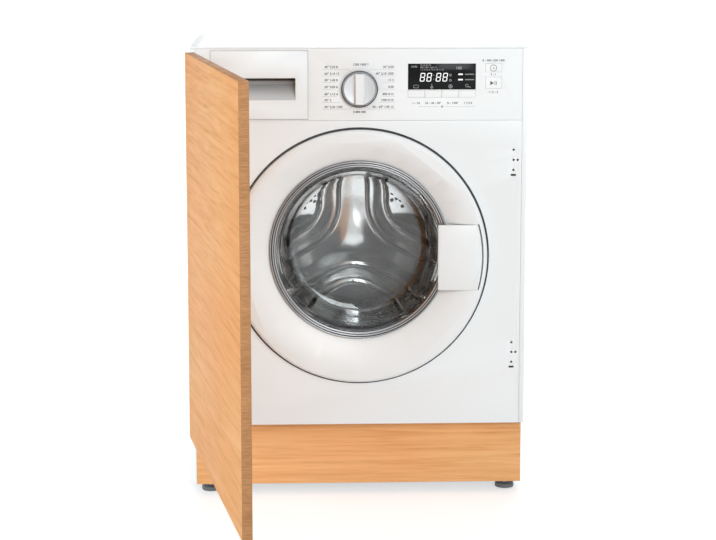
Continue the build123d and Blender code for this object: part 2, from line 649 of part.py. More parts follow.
def pump_filter():
    """Screw-in lint filter with its finger bar."""
    x, z = FILTER_X, FILTER_Z
    cap = disc(x, z, 30, 47, 54) + block(x - 26, x + 26, 42, 48, z - 5, z + 5)
    return cap + ring(x, z, 24, 21, 53, 100)


def sump_hose():
    x, y = SUMP_XY
    points = [(x, y, SUMP_END), (x, y, 75), (x, 110, 75), (FILTER_X - 55, 110, 75)]
    return hose(points, 28, 17, 14)


def drain_hose():
    """Drain hose from the pump up to its spigot at the back."""
    y = REAR_Y - 60
    points = [(*PUMP_OUT, 125), (*PUMP_OUT, 170), (DRAIN_X, y, 170), (DRAIN_X, y, DRAIN_Z),
              (DRAIN_X, REAR_Y - 3, DRAIN_Z)]
    return hose(points, [18, 40, 24], 9, 7)


def door_lock():
    front = RECESS_DEPTH + SHEET + 0.1
    x = HOOK_AXIS[0]
    box = block(x - 9, x + 26, front, 48, RING_Z - 41, RING_Z + 41)
    return box - block(x - 10, x + 20, front - 1, 44, RING_Z - 12, RING_Z + 12)


def porthole_hinge_bracket():
    """Screwed plate with two knuckles and the door's pin."""
    x, y, z = PORT_AXIS_X, PORT_AXIS_Y, RING_Z
    plate = block(x - 20, x - 2, -2.5, 0, z - 46, z + 46)
    for low, high in ((z - 45, z - 28), (z + 28, z + 45)):
        plate += post(x, y, 6, low, high) + block(x - 6, x, y, -1, low, high)
    return plate + post(x, y, PORT_PIN_R, z - 44, z + 44)


def door_hinge_arm():
    x, y, z = PORT_AXIS_X, PORT_AXIS_Y, RING_Z
    knuckle = post(x, y, 5.4, z - 27.6, z + 27.6)
    arm = block(x, x + 50, -6, -1, z - 27.6, z + 27.6)
    return knuckle + arm - post(x, y, PORT_PIN_R + RUN, z - 30, z + 30)


def dish():
    """The slanted hollow from the rim's flat face in to the glass, and the hole behind it."""
    seat_r, seat_y = GLASS_R + 0.5, RING_BACK - 5
    ahead = 4.0
    grow = ahead / (seat_y - RING_FRONT)
    front_r = DISH_R + (DISH_R - seat_r) * grow
    front_z = RING_Z + (RING_Z - GLASS_Z) * grow
    hollow = cone_y(0, front_z, front_r, RING_FRONT - ahead, 0, GLASS_Z, seat_r, seat_y)
    return hollow + disc(0, GLASS_Z, seat_r, seat_y, RING_BACK + 1)


def door_outer_ring():
    """White ring: flat rim, dished towards the glass, hollow behind the rim."""
    rim = disc(0, RING_Z, RING_R, RING_FRONT, RING_BACK)
    rim = fillet(rim.faces().sort_by(Axis.Y)[0].edges(), 7)
    rim -= dish()
    x0, x1 = HANDLE_X
    groove = ring(0, RING_Z, RING_R - 6, RING_R - 20, -10, RING_BACK + 1)
    groove -= block(x0 - 10, RING_R + 2, -15, 10, HANDLE_Z[0] - 8, HANDLE_Z[1] + 8)
    rim -= groove
    floor = RING_BACK - 6
    pocket = block(x0 - 20, x1 + 4, -25, floor, HANDLE_Z[0] - 0.8, HANDLE_Z[1] + 0.8)
    rim -= pocket & disc(0, RING_Z, x1 + 3, -25, floor)
    x0 = PORT_AXIS_X
    rim -= block(x0 + 6, x0 + 51, -7, RING_BACK + 1, RING_Z - 28.5, RING_Z + 28.5)
    rim -= block(*HOOK_SLOT, floor - 1, RING_BACK + 1, RING_Z - 7.5, RING_Z + 7.5)
    rim -= post(*HANDLE_AXIS, 3 + RUN, HANDLE_Z[0] - 5, HANDLE_Z[1] + 5)
    return rim - post(*HOOK_AXIS, 2.5 + RUN, RING_Z - 14.2, RING_Z + 14.2)


def door_inner_ring():
    """Back ring that clamps the glass and carries the hinge arm."""
    y0, y1 = RING_BACK, RING_BACK + INNER_RING_T
    back = disc(0, RING_Z, RING_R - 5, y0, y1) - disc(0, GLASS_Z, BOWL_R + 0.2, y0 - 1, y1 + 1)
    x = PORT_AXIS_X
    boss = block(x + 19, x + 49.5, -1, y0 + 1, RING_Z - 27, RING_Z + 27)
    return back + boss - block(*HOOK_SLOT, y0 - 1, y1 + 1, RING_Z - 7.5, RING_Z + 7.5)


def door_glass():
    """Pressed glass bowl with its flat flange."""
    y, t = RING_BACK, GLASS_T
    end = BOWL_DEPTH
    points = [(0, end), (BOWL_END_R - 20, end - 3), (BOWL_END_R, end - 14), (BOWL_R, y),
              (GLASS_R - 1, y), (GLASS_R - 1, y - 3), (BOWL_R - t, y - 3),
              (BOWL_END_R - t, end - 15), (BOWL_END_R - 22, end - 3 - t), (0, end - t)]
    return turned(0, GLASS_Z, points)


def glass_trim_ring():
    r, y = GLASS_R, RING_BACK - 3.2
    points = [(r, y), (r, y - 2.8), (r - 4, y - 6.8), (r - 11, y - 4.3), (r - 14, y)]
    return turned(0, GLASS_Z, points)


def door_handle():
    """Handle flap. Its trunnions turn in the ring, and its left edge overhangs the glass."""
    z0, z1 = HANDLE_Z
    flap = block(HANDLE_X[0], HANDLE_X[1] + 2, HANDLE_FRONT, -9, z0, z1)
    flap &= disc(0, RING_Z, HANDLE_X[1], HANDLE_FRONT - 1, 0)
    flap &= post(sum(HANDLE_X) / 2, HANDLE_FRONT + 300, 300, z0 - 1, z1 + 1)
    hollow = block(HANDLE_X[0] - 1, HANDLE_X[1] - 20, -13.5, -8, z0 + 3, z1 - 3)
    return flap - hollow + post(*HANDLE_AXIS, 3, z0 - 4, z1 + 4)


def latch_hook():
    x, y = HOOK_AXIS
    z0, z1 = RING_Z - 6, RING_Z + 6
    lever = block(x - 4, x + 4, y - 2.5, y + 31, z0, z1)
    lever += block(x, x + 10, y + 25, y + 31, z0, z1)
    return lever + post(x, y, 2.5, RING_Z - 14, RING_Z + 14)


def window_outline(offset, reach, inner_round, outer_round, y):
    """A rounded three-sided window between two of the star's arms, facing 6 o'clock."""
    point = offset / math.sin(math.radians(60))
    run = reach * 1.3
    side = math.radians(-30)
    far_x, far_z = run * math.cos(side), run * math.sin(side)
    wedge = make_face(Polyline((0, -point), (far_x, far_z - point), (far_x, -run * 2),
                               (-far_x, -run * 2), (-far_x, far_z - point), close=True))
    face = wedge & Circle(reach)
    inner = face.vertices().sort_by_distance((0, 0, 0))[0]
    face = fillet(inner, inner_round)
    corners = [v for v in face.vertices() if abs(math.hypot(v.X, v.Y) - reach) < 0.01]
    face = fillet(corners, outer_round)
    return Pos(0, y, DRUM_Z) * Rot(90, 0, 0) * face


def window_cut(shrink, y0, y1):
    """The sloping-sided hollow of one window. A positive shrink gives its outer skin."""
    front = window_outline(28 - shrink, STAR_REACH + shrink, 22, 60, y0)
    back = window_outline(58 - shrink, STAR_REACH - 25 + shrink, 14, 40, y1)
    return loft([front, back], ruled=True)


def about_drum(shape, degrees):
    """Turn a shape about the drum's axis."""
    return Pos(0, 0, DRUM_Z) * Rot(0, degrees, 0) * Pos(0, 0, -DRUM_Z) * shape


def drum_rear_wall():
    """Back of the drum, with a raised three-armed star between three dished windows."""
    front, back = STAR_FRONT, STAR_FRONT + STAR_DEPTH
    sheet = 2.0
    wall = disc(0, DRUM_Z, DRUM_IN, front, back + sheet)
    hollow = disc(0, DRUM_Z, DRUM_IN - 6, front + sheet, back + sheet + 1)
    cut = window_cut(0, front, back)
    skin = window_cut(sheet, front, back) + window_cut(sheet, front, back).moved(
        Location((0, sheet, 0)))
    for degrees in (0, 120, 240):
        wall -= about_drum(cut, degrees)
        hollow -= about_drum(skin, degrees)
    return wall - hollow


def drum_shell():
    """Stainless shell with its rolled front lip."""
    r, t, y = DRUM_R, DRUM_SHEET, DRUM_FRONT
    m = DRUM_MOUTH_R
    points = [(r, DRUM_BACK), (r, y + 14), (r - 9, y + 4), (m + 4, y), (m, y + 4),
              (m + 1.2, y + 4.8), (m + 4.4, y + 1.3), (r - 9.5, y + 5.3), (r - t, y + 14.6),
              (r - t, DRUM_BACK)]
    return turned(0, DRUM_Z, points)


def drum_lifter(degrees):
    """Moulded paddle on the drum's wall."""
    r = DRUM_IN
    points = [(-36, -r - 2), (36, -r - 2), (30, -r + 14), (14, -r + 46), (-14, -r + 46),
              (-30, -r + 14)]
    paddle = prism_y(points, 118, STAR_FRONT)
    paddle &= disc(0, 0, r, 110, STAR_FRONT + 5)
    return about_drum(Pos(0, 0, DRUM_Z) * paddle, degrees)


def drum_spider():
    """Cast three-armed cross with the drum's stepped shaft."""
    y = STAR_FRONT + STAR_DEPTH + 2
    shaft = turned(0, DRUM_Z, [(0, y), (40, y), (40, y + 20), (22, TUB_BACK - 12),
                               (SHAFT_R, TUB_BACK - 12), (SHAFT_R, TUB_BACK + 20),
                               (SHAFT_END_R, TUB_BACK + 20), (SHAFT_END_R, SHAFT_END),
                               (0, SHAFT_END)])
    arm = block(-20, 20, y + 8, y + 22, DRUM_Z, DRUM_Z + DRUM_IN + 3)
    for degrees in (0, 120, 240):
        shaft += about_drum(arm, degrees)
    keep = disc(0, DRUM_Z, DRUM_IN, y - 1, SHAFT_END + 1)
    return shaft & keep


def drum_pulley():
    y0, y1 = PULLEY_Y
    wheel = ring(0, DRUM_Z, PULLEY_R, PULLEY_R - 10, y0, y1) + disc(0, DRUM_Z, 26, y0, y1)
    spoke = block(-14, 14, y0 + 4, y1 - 4, DRUM_Z + 20, DRUM_Z + PULLEY_R - 5)
    for i in range(6):
        wheel += about_drum(spoke, 60 * i)
    return wheel - disc(0, DRUM_Z, SHAFT_END_R, y0 - 1, y1 + 1)


def decor_turned(shape):
    """Swing a shape that is drawn with the decor door shut to the stored opening."""
    x, y = DECOR_AXIS
    return Pos(x, y, 0) * Rot(0, 0, -DECOR_OPEN) * Pos(-x, -y, 0) * shape


def decor_panel():
    """Oak-faced board with blind holes for its hinge cups."""
    back = -DECOR_GAP
    board = block(DECOR_LEFT, DECOR_LEFT + DECOR_W, back - DECOR_T, back,
                  DECOR_BOTTOM, DECOR_BOTTOM + DECOR_H)
    for z in HINGE_ZS:
        board -= disc(DECOR_LEFT + CUP_FROM_EDGE, z, CUP_R + 0.05, back - CUP_DEPTH, back + 1)
        board -= post(*DECOR_AXIS, KNUCKLE_R + 0.4, z - 6.9, z + 6.9)
    return board


def decor_hinge_cup(z):
    """Hinge cup with its screw flange, and the pin that the fixed arm carries."""
    back = -DECOR_GAP
    ax, ay = DECOR_AXIS
    x = DECOR_LEFT + CUP_FROM_EDGE
    half = 6.8
    cup = disc(x, z, CUP_R, back - CUP_DEPTH, back)
    cup += block(x - 8, x + 12, back, back + 1.2, z - 26, z + 26)
    cup -= block(ax - 5, x + 13, back - 9, back + 3, z - half, z + half)
    return cup + post(ax, ay, DECOR_PIN_R, z - half - 2, z + half + 2)


def decor_hinge_arm(z):
    """Fixed hinge arm, screwed to the casing's front."""
    ax, ay = DECOR_AXIS
    half = 6.5
    plate = block(ax + 2, ax + 26, -3, 0, z - 22, z + 22)
    leg = block(ax + 6, ax + 18, ay + 1.7, -2, z - half, z + half)
    neck = block(ax + 1.5, ax + 18, ay + 1.7, ay + 6, z - half, z + half)
    knuckle = post(ax, ay, KNUCKLE_R, z - half, z + half)
    return plate + leg + neck + knuckle - post(ax, ay, DECOR_PIN_R + RUN, z - 9, z + 9)


def mains_gland():
    x, z = GLAND
    return disc(x, z, 9, REAR_Y - 4, REAR_Y + 10) + disc(x, z, 13, REAR_Y - 4, REAR_Y)


def drain_spigot():
    x, z = DRAIN_X, DRAIN_Z
    spigot = disc(x, z, 10, FITTING_Y, CASE_D) + disc(x, z, 18, REAR_Y - 3, REAR_Y)
    spigot += disc(x, z, DRAIN_COLLAR_R, REAR_Y, FITTING_Y)
    return spigot - disc(x, z, 7, REAR_Y - 4, CASE_D + 1)


# Casing and front
right_side = side_panel()
write("side_panel_right", right_side)
write("side_panel_left", mirrored(right_side))
write("rear_panel", rear_panel())
write("rear_access_cover", rear_access_cover())
write("top_cover", top_cover())
write("front_panel", front_panel())
write("base_tray", base_tray())
write("plinth_board", plinth_board())
write("rear_fittings", mains_gland(), drain_spigot())
for side, sign in (("left", -1), ("right", 1)):
    for end, foot_y in zip(("front", "rear"), FOOT_YS):
        write(f"foot_{end}_{side}", foot(sign * FOOT_X, foot_y))

# Controls
write("control_fascia", control_fascia())
write("display_window", display_window())
write("control_board", control_board())
write("programme_knob", programme_knob())
for number, limits in enumerate(key_limits(), start=1):
    write(f"key_{number}", push_key(limits, KEY_Z))
write("power_button", push_key(BUTTON_X, POWER_Z))
write("start_button", push_key(BUTTON_X, START_Z))

# Detergent drawer and water
write("drawer_front", drawer_front())
write("drawer_tray", *drawer_tray())
write("dispenser_housing", dispenser_housing())
write("inlet_valve", inlet_valve())
write("water_hoses", fill_hose(), dispenser_hose())
write("drain_pump", drain_pump())
write("pump_filter", pump_filter())
write("drain_hoses", sump_hose(), drain_hose())

# Tub and what hangs on it
spring, damper = suspension_spring(), shock_absorber()
write("tub_front", tub_front())
write("tub_rear", tub_rear())
write("door_gasket", door_gasket())
write("counterweights", front_counterweight(), top_counterweight())
write("suspension_springs", spring, mirrored(spring))
write("shock_absorbers", damper, mirrored(damper))
write("heating_element", heating_element())
write("drum_bearings",
      drum_bearing(BEARING_R, SHAFT_R, TUB_BACK + 2, 16),
      drum_bearing(REAR_BEARING_R, SHAFT_END_R, HUB_END - 15, 15))
write("shaft_seal", ring(0, DRUM_Z, BEARING_R, SHAFT_R + FREE, TUB_BACK - 6, TUB_BACK + 2))

# Drum and drive
write("drum_shell", drum_shell())
write("drum_rear_wall", drum_rear_wall())
write("drum_lifters", *[drum_lifter(degrees) for degrees in (0, 120, 240)])
write("drum_spider", drum_spider())
write("drum_pulley", drum_pulley())
write("motor_housing", motor_housing())
write("motor_pulley", motor_pulley())
write("drive_belt", drive_belt())

# Porthole door
write("porthole_hinge_bracket", porthole_hinge_bracket())
write("door_hinge_arm", door_hinge_arm())
write("door_outer_ring", door_outer_ring())
write("door_inner_ring", door_inner_ring())
write("door_glass", door_glass())
write("glass_trim_ring", glass_trim_ring())
write("door_handle", door_handle())
write("latch_hook", latch_hook())
write("door_lock", door_lock())

# Decor door
write("decor_panel", decor_turned(decor_panel()))
write("decor_hinge_cups", *[decor_turned(decor_hinge_cup(z)) for z in HINGE_ZS])
write("decor_hinge_arms", *[decor_hinge_arm(z) for z in HINGE_ZS])
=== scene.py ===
import json
from math import cos, pi, radians, sin
import bpy
from mathutils import Matrix, Vector

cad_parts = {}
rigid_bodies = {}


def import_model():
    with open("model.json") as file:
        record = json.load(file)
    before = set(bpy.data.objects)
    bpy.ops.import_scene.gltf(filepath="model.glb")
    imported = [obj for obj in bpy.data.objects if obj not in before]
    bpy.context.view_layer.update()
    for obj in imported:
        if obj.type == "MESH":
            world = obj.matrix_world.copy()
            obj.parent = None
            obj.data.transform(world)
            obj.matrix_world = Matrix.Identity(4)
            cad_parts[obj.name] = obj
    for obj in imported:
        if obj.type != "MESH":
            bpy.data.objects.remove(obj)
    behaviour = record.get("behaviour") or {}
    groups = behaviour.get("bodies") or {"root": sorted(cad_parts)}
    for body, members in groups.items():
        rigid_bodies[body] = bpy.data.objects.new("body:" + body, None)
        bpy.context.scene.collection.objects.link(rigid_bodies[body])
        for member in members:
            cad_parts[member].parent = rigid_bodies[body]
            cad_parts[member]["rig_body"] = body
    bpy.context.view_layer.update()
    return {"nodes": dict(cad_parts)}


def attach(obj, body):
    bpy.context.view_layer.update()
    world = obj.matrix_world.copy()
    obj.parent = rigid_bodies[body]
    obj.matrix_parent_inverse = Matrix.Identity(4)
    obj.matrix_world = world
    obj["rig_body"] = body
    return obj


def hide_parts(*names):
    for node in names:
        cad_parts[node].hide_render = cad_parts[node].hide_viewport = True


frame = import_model()

# Casing sides and lid: thin steel sheet, folded and sprayed with white enamel.
# The enamel has a faint orange peel, and every fold is rounded over. A shallow field is
# pressed into each large face, which keeps the sheet from drumming.
LARGE_FACE = 0.15
FIELD_WALL, FIELD_DEPTH = 0.0025, 0.0011
SHEET_FOLD = 0.0008


def add(tree, kind, wires=None, **settings):
    """Places one shader node. Wires give its sockets another socket or a plain value."""
    node = tree.nodes.new("ShaderNode" + kind)
    for key, value in settings.items():
        setattr(node, key, value)
    for socket, value in (wires or {}).items():
        if isinstance(value, bpy.types.NodeSocket):
            tree.links.new(value, node.inputs[socket])
        else:
            node.inputs[socket].default_value = value
    return node


def figure(tree, operation, *values, **settings):
    """One sum on values that change over a surface."""
    return add(tree, "Math", dict(enumerate(values)), operation=operation, **settings).outputs[0]


def noise(tree, place, scale, detail, roughness=0.5):
    """Cloudy noise over a surface."""
    return add(tree, "TexNoise", {"Vector": place, "Scale": scale, "Detail": detail,
                                  "Roughness": roughness}).outputs[0]


def new_effect(name, takes, gives):
    """Starts a node group. Takes and gives hold a default for each named socket."""
    kinds = {1: "NodeSocketFloat", 3: "NodeSocketVector", 4: "NodeSocketColor"}
    tree = bpy.data.node_groups.new(name, "ShaderNodeTree")
    for side, sockets in (("INPUT", takes), ("OUTPUT", gives)):
        for label, value in sockets.items():
            size = len(value) if isinstance(value, tuple) else 1
            socket = tree.interface.new_socket(label, in_out=side, socket_type=kinds[size])
            socket.default_value = value
    return tree, tree.nodes.new("NodeGroupInput").outputs, tree.nodes.new("NodeGroupOutput").inputs


def surface(name, colour, roughness, **sockets):
    """A material with one Principled shader, given with its tree and shader."""
    material = bpy.data.materials.new(name)
    material.use_nodes = True
    tree = material.node_tree
    tree.nodes.clear()
    values = {"Base Color": (*colour, 1), "Roughness": roughness}
    values.update({key.replace("_", " "): value for key, value in sockets.items()})
    shader = add(tree, "BsdfPrincipled", values)
    add(tree, "OutputMaterial", {"Surface": shader.outputs[0]})
    return material, tree, shader


unevenness, came, goes = new_effect(
    "unevenness",
    {"Colour": (0.8, 0.8, 0.8, 1), "Size": 0.01, "Tint": 0.03, "Roughness": 0.4, "Spread": 0.05,
     "Depth": 0.1},
    {"Colour": (0.8, 0.8, 0.8, 1), "Roughness": 0.4, "Normal": (0.0, 0.0, 0.0)})
place = add(unevenness, "TexCoord").outputs["Object"]
grain = noise(unevenness, place, figure(unevenness, "DIVIDE", 1.0, came["Size"]), 4.0)
cloud = noise(unevenness, place, 7.0, 3.0)
tint = figure(unevenness, "MULTIPLY_ADD", figure(unevenness, "SUBTRACT", cloud, 0.5),
              came["Tint"], 1.0)
shade = add(unevenness, "VectorMath", {0: came["Colour"], 1: tint}, operation="MULTIPLY")
gloss = figure(unevenness, "MULTIPLY_ADD", figure(unevenness, "SUBTRACT", grain, 0.5),
               came["Spread"], came["Roughness"])
bump = add(unevenness, "Bump", {"Strength": came["Depth"], "Distance": 0.0002, "Height": grain})
for label, socket in (("Colour", shade.outputs[0]), ("Roughness", gloss),
                      ("Normal", bump.outputs[0])):
    unevenness.links.new(socket, goes[label])


def uneven(name, colour, roughness, size, tint, vary, depth, **sockets):
    """A material whose colour, gloss and surface vary as the real finish does."""
    material, tree, shader = surface(name, colour, roughness, **sockets)
    parts = add(tree, "Group", {"Colour": (*colour, 1), "Size": size, "Tint": tint,
                                "Roughness": roughness, "Spread": vary, "Depth": depth},
                node_tree=unevenness)
    for output, socket in (("Colour", "Base Color"), ("Roughness", "Roughness"),
                           ("Normal", "Normal")):
        tree.links.new(parts.outputs[output], shader.inputs[socket])
    return material


def only(piece):
    """Makes a piece the one that operators act on."""
    bpy.ops.object.select_all(action="DESELECT")
    bpy.context.view_layer.objects.active = piece
    piece.select_set(True)


def opened(piece):
    """Opens a piece in edit mode, selected all over."""
    only(piece)
    bpy.ops.object.mode_set(mode="EDIT")
    bpy.ops.mesh.select_mode(type="VERT")
    bpy.ops.mesh.select_all(action="SELECT")


def rounded(piece, width, segments, angle=30):
    """Rounds over the edges sharper than an angle, or every edge where it is 0."""
    bevel = piece.modifiers.new("edges", "BEVEL")
    bevel.width, bevel.segments = width, segments
    bevel.limit_method = "ANGLE" if angle else "NONE"
    bevel.angle_limit = radians(angle)
    bpy.ops.object.modifier_apply(modifier=bevel.name)


def settle(piece, material, body, slot, *nodes, angle=35):
    """Shades a finished piece, gives it its material and sets it on its body."""
    only(piece)
    bpy.ops.object.transform_apply(location=True, rotation=True, scale=True)
    bpy.ops.object.shade_smooth_by_angle(angle=radians(angle))
    piece.data.materials.clear()
    piece.data.materials.append(material)
    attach(piece, body)
    if nodes:
        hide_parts(*nodes)


def picked(piece, test):
    """Selects, in edit mode, the faces whose centre, direction and area pass a test."""
    bpy.ops.mesh.select_mode(type="FACE")
    bpy.ops.mesh.select_all(action="DESELECT")
    bpy.ops.object.mode_set(mode="OBJECT")
    for face in piece.data.polygons:
        face.select = test(face.center, face.normal, face.area)
    bpy.ops.object.mode_set(mode="EDIT")


def softened(node, width, material, slot, segments=2, field=None):
    """Stands for a solid whose shape is right, with its edges rounded over.

    A field gives the way that a large face looks and its margin, and is pressed into that face.
    """
    source = frame["nodes"][node]
    piece = bpy.data.objects.new("soft_" + node, source.data.copy())
    bpy.context.scene.collection.objects.link(piece)
    opened(piece)
    bpy.ops.mesh.remove_doubles(threshold=0.00001)
    bpy.ops.mesh.dissolve_limited(angle_limit=radians(0.6))
    if field:
        side, margin = field
        picked(piece, lambda centre, way, area: way.dot(Vector(side)) > 0.99 and area > LARGE_FACE)
        bpy.ops.mesh.inset(thickness=margin)
        bpy.ops.mesh.inset(thickness=FIELD_WALL, depth=-FIELD_DEPTH)
    bpy.ops.object.mode_set(mode="OBJECT")
    rounded(piece, width, segments)
    settle(piece, material, source["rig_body"], slot, node)


enamel = uneven("white_enamel", (0.885, 0.895, 0.905), 0.3, 0.004, 0.015, 0.08, 0.05)
for node, side, margin in (("side_panel_left", (-1, 0, 0), 0.050),
                           ("side_panel_right", (1, 0, 0), 0.050), ("top_cover", (0, 0, 1), 0.040)):
    softened(node, SHEET_FOLD, enamel, "white_enamel", field=(side, margin))

# Back, service cover and base tray: bare galvanised sheet, whose zinc grew in flat crystals.
# The cover is screwed over the opening, and the tray carries the feet and the shock absorbers.


def spread(tree, value, low, high, to_low=0.0, to_high=1.0):
    """Draws a value out between new limits."""
    return add(tree, "MapRange", {"Value": value, "From Min": low, "From Max": high,
                                  "To Min": to_low, "To Max": to_high}).outputs[0]


spangle, tree, shader = surface("zinc_sheet", (0.5, 0.52, 0.54), 0.4, Metallic=0.85)
place = add(tree, "TexCoord").outputs["Object"]
crystals = add(tree, "TexVoronoi", {"Vector": place, "Scale": 150.0}).outputs["Color"]
tone = add(tree, "ValToRGB", {"Fac": crystals})
tone.color_ramp.elements[0].color = (0.47, 0.485, 0.50, 1)
tone.color_ramp.elements[1].color = (0.57, 0.585, 0.60, 1)
tree.links.new(tone.outputs[0], shader.inputs["Base Color"])
tree.links.new(spread(tree, crystals, 0.0, 1.0, 0.32, 0.5), shader.inputs["Roughness"])
for node in ("rear_panel", "rear_access_cover", "base_tray"):
    softened(node, 0.0005, spangle, "zinc_sheet", segments=1)

# Plinth and decor door: board faced with reddish oak veneer, its grain laid across the width
# under a matt lacquer, and edged with a darker band. The plinth clips on to hide the feet.
OAK_LIGHT, OAK_MID, OAK_DARK = (0.93, 0.515, 0.238), (0.91, 0.445, 0.190), (0.71, 0.285, 0.097)
FRONT = 0.028551572  # where the white front's plane stands, front to back
DOOR_HINGE, DOOR_TURN = (-0.288, FRONT - 0.022), radians(79.5)

oak_grain, came, goes = new_effect(
    "oak_grain",
    {"Along": (0.0, 0.0, 0.0), "Rings": 50.0, "Waver": 0.03, "Lines": 0.5,
     "Light": (*OAK_LIGHT, 1), "Mid": (*OAK_MID, 1), "Dark": (*OAK_DARK, 1)},
    {"Colour": (0.8, 0.5, 0.3, 1), "Roughness": 0.4, "Normal": (0.0, 0.0, 0.0)})


def stretched(tree, vector, scale, detail, roughness=0.5):
    """Noise drawn out along the grain."""
    drawn = add(tree, "VectorMath", {0: vector, 1: scale}, operation="MULTIPLY").outputs[0]
    return noise(tree, drawn, 1.0, detail, roughness)


def blended(tree, amount, one, other):
    """A colour between two others."""
    return add(tree, "Mix", {"Factor": amount, 6: one, 7: other}, data_type="RGBA").outputs[2]


along = came["Along"]
height = add(oak_grain, "SeparateXYZ", {"Vector": along}).outputs["Z"]
broad = stretched(oak_grain, along, (1.3, 2.0, 5.0), 1.5)
waves = stretched(oak_grain, along, (4.0, 4.0, 22.0), 2.0)
bent = figure(oak_grain, "MULTIPLY_ADD", broad, came["Waver"], height)
bent = figure(oak_grain, "MULTIPLY_ADD", waves, 0.012, bent)
ring = figure(oak_grain, "FRACT", figure(oak_grain, "MULTIPLY", bent, came["Rings"]))
late = figure(oak_grain, "POWER", ring, 2.2)
early = spread(oak_grain, ring, 0.93, 1.0, 1.0, 0.0)
faint = spread(oak_grain, stretched(oak_grain, along, (2.0, 6.0, 30.0), 3.0), 0.38, 0.66)
growth = figure(oak_grain, "MULTIPLY", figure(oak_grain, "MULTIPLY", late, early), faint)
fibre = stretched(oak_grain, along, (14.0, 420.0, 420.0), 3.0)
streak = stretched(oak_grain, along, (4.5, 130.0, 130.0), 4.0, 0.6)
pore = spread(oak_grain, fibre, 0.52, 0.70, 0.0, 0.30)
vein = spread(oak_grain, streak, 0.42, 0.70, 0.0, 0.52)
dark = figure(oak_grain, "MULTIPLY_ADD", growth, came["Lines"], vein)
dark = figure(oak_grain, "ADD", dark, pore, use_clamp=True)
patch = spread(oak_grain, stretched(oak_grain, along, (2.2, 5.0, 6.0), 2.0), 0.36, 0.62)
ground = blended(oak_grain, patch, came["Light"], came["Mid"])
oak_grain.links.new(blended(oak_grain, dark, ground, came["Dark"]), goes["Colour"])
oak_grain.links.new(spread(oak_grain, fibre, 0.3, 0.7, 0.42, 0.56), goes["Roughness"])
bump = add(oak_grain, "Bump", {"Strength": 0.12, "Distance": 0.0002, "Height": fibre})
oak_grain.links.new(bump.outputs[0], goes["Normal"])


def oak(name, hinge, turn, rings, waver, lines, veneer):
    """Veneer laid along the board after its turn about the hinge, with bands past its limits."""
    material, tree, shader = surface(name, OAK_MID, 0.5, Specular_IOR_Level=0.02)
    place = add(tree, "TexCoord").outputs["Object"]
    from_hinge = add(tree, "VectorMath", {0: place, 1: (*hinge, 0)}, operation="SUBTRACT")
    laid = add(tree, "Mapping", {"Vector": from_hinge.outputs[0],
                                 "Rotation": (0, 0, turn)}).outputs[0]
    parts = add(tree, "Group", {"Along": laid, "Rings": rings, "Waver": waver, "Lines": lines},
                node_tree=oak_grain)
    apart = add(tree, "SeparateXYZ", {"Vector": laid}).outputs
    edge = 0.0
    for axis, low, high in veneer:
        for test, limit in (("LESS_THAN", low), ("GREATER_THAN", high)):
            edge = figure(tree, "MAXIMUM", edge, figure(tree, test, apart[axis], limit))
    ticks = stretched(tree, laid, (60.0, 60.0, 620.0), 2.0)
    drift = stretched(tree, laid, (10.0, 10.0, 22.0), 2.0)
    tick = figure(tree, "ADD", spread(tree, ticks, 0.4, 0.62, 0.0, 0.7),
                  spread(tree, drift, 0.3, 0.7, 0.0, 0.4), use_clamp=True)
    tape = blended(tree, tick, (0.58, 0.290, 0.134, 1), (0.42, 0.200, 0.086, 1))
    tree.links.new(blended(tree, edge, parts.outputs["Colour"], tape), shader.inputs["Base Color"])
    for output in ("Roughness", "Normal"):
        tree.links.new(parts.outputs[output], shader.inputs[output])
    return material


plinth_oak = oak("oak_plinth", (0, 0), 0, 34.0, 0.10, 0.5,
                 (("X", -0.2957, 0.2957), ("Z", 0.0203, 0.1370)))
softened("plinth_board", 0.0005, plinth_oak, "oak")
door_oak = oak("oak_door", DOOR_HINGE, DOOR_TURN, 26.0, 0.16, 0.36,
               (("X", -0.0097, 0.5857), ("Z", 0.1214, 0.8107)))
softened("decor_panel", 0.0005, door_oak, "oak")

# Levelling feet: a grey rubber pad moulded on a plated screw, with a hexagon lock nut.
# Each screws into a boss in the base tray and is turned to set the height.
FOOT_XS = {"left": -0.271, "right": 0.271}
FOOT_YS = {"front": 0.062, "rear": 0.490}
THREAD = 0.0015
pad_rubber = uneven("foot_rubber", (0.155, 0.165, 0.17), 0.5, 0.001, 0.2, 0.2, 0.3)
plated = uneven("zinc_plating", (0.62, 0.63, 0.65), 0.3, 0.002, 0.08, 0.15, 0.1, Metallic=1.0)


def started(name, add_primitive, scale=(1, 1, 1), **place):
    """Adds a primitive at its place and size and opens it in edit mode."""
    bpy.ops.object.select_all(action="DESELECT")
    add_primitive(**place)
    piece = bpy.context.object
    piece.name, piece.scale = name, scale
    bpy.ops.object.transform_apply(location=True, rotation=True, scale=True)
    opened(piece)
    return piece


def finished():
    """Turns the open piece's faces outwards and leaves edit mode."""
    bpy.ops.mesh.select_all(action="SELECT")
    bpy.ops.mesh.normals_make_consistent(inside=False)
    bpy.ops.object.mode_set(mode="OBJECT")


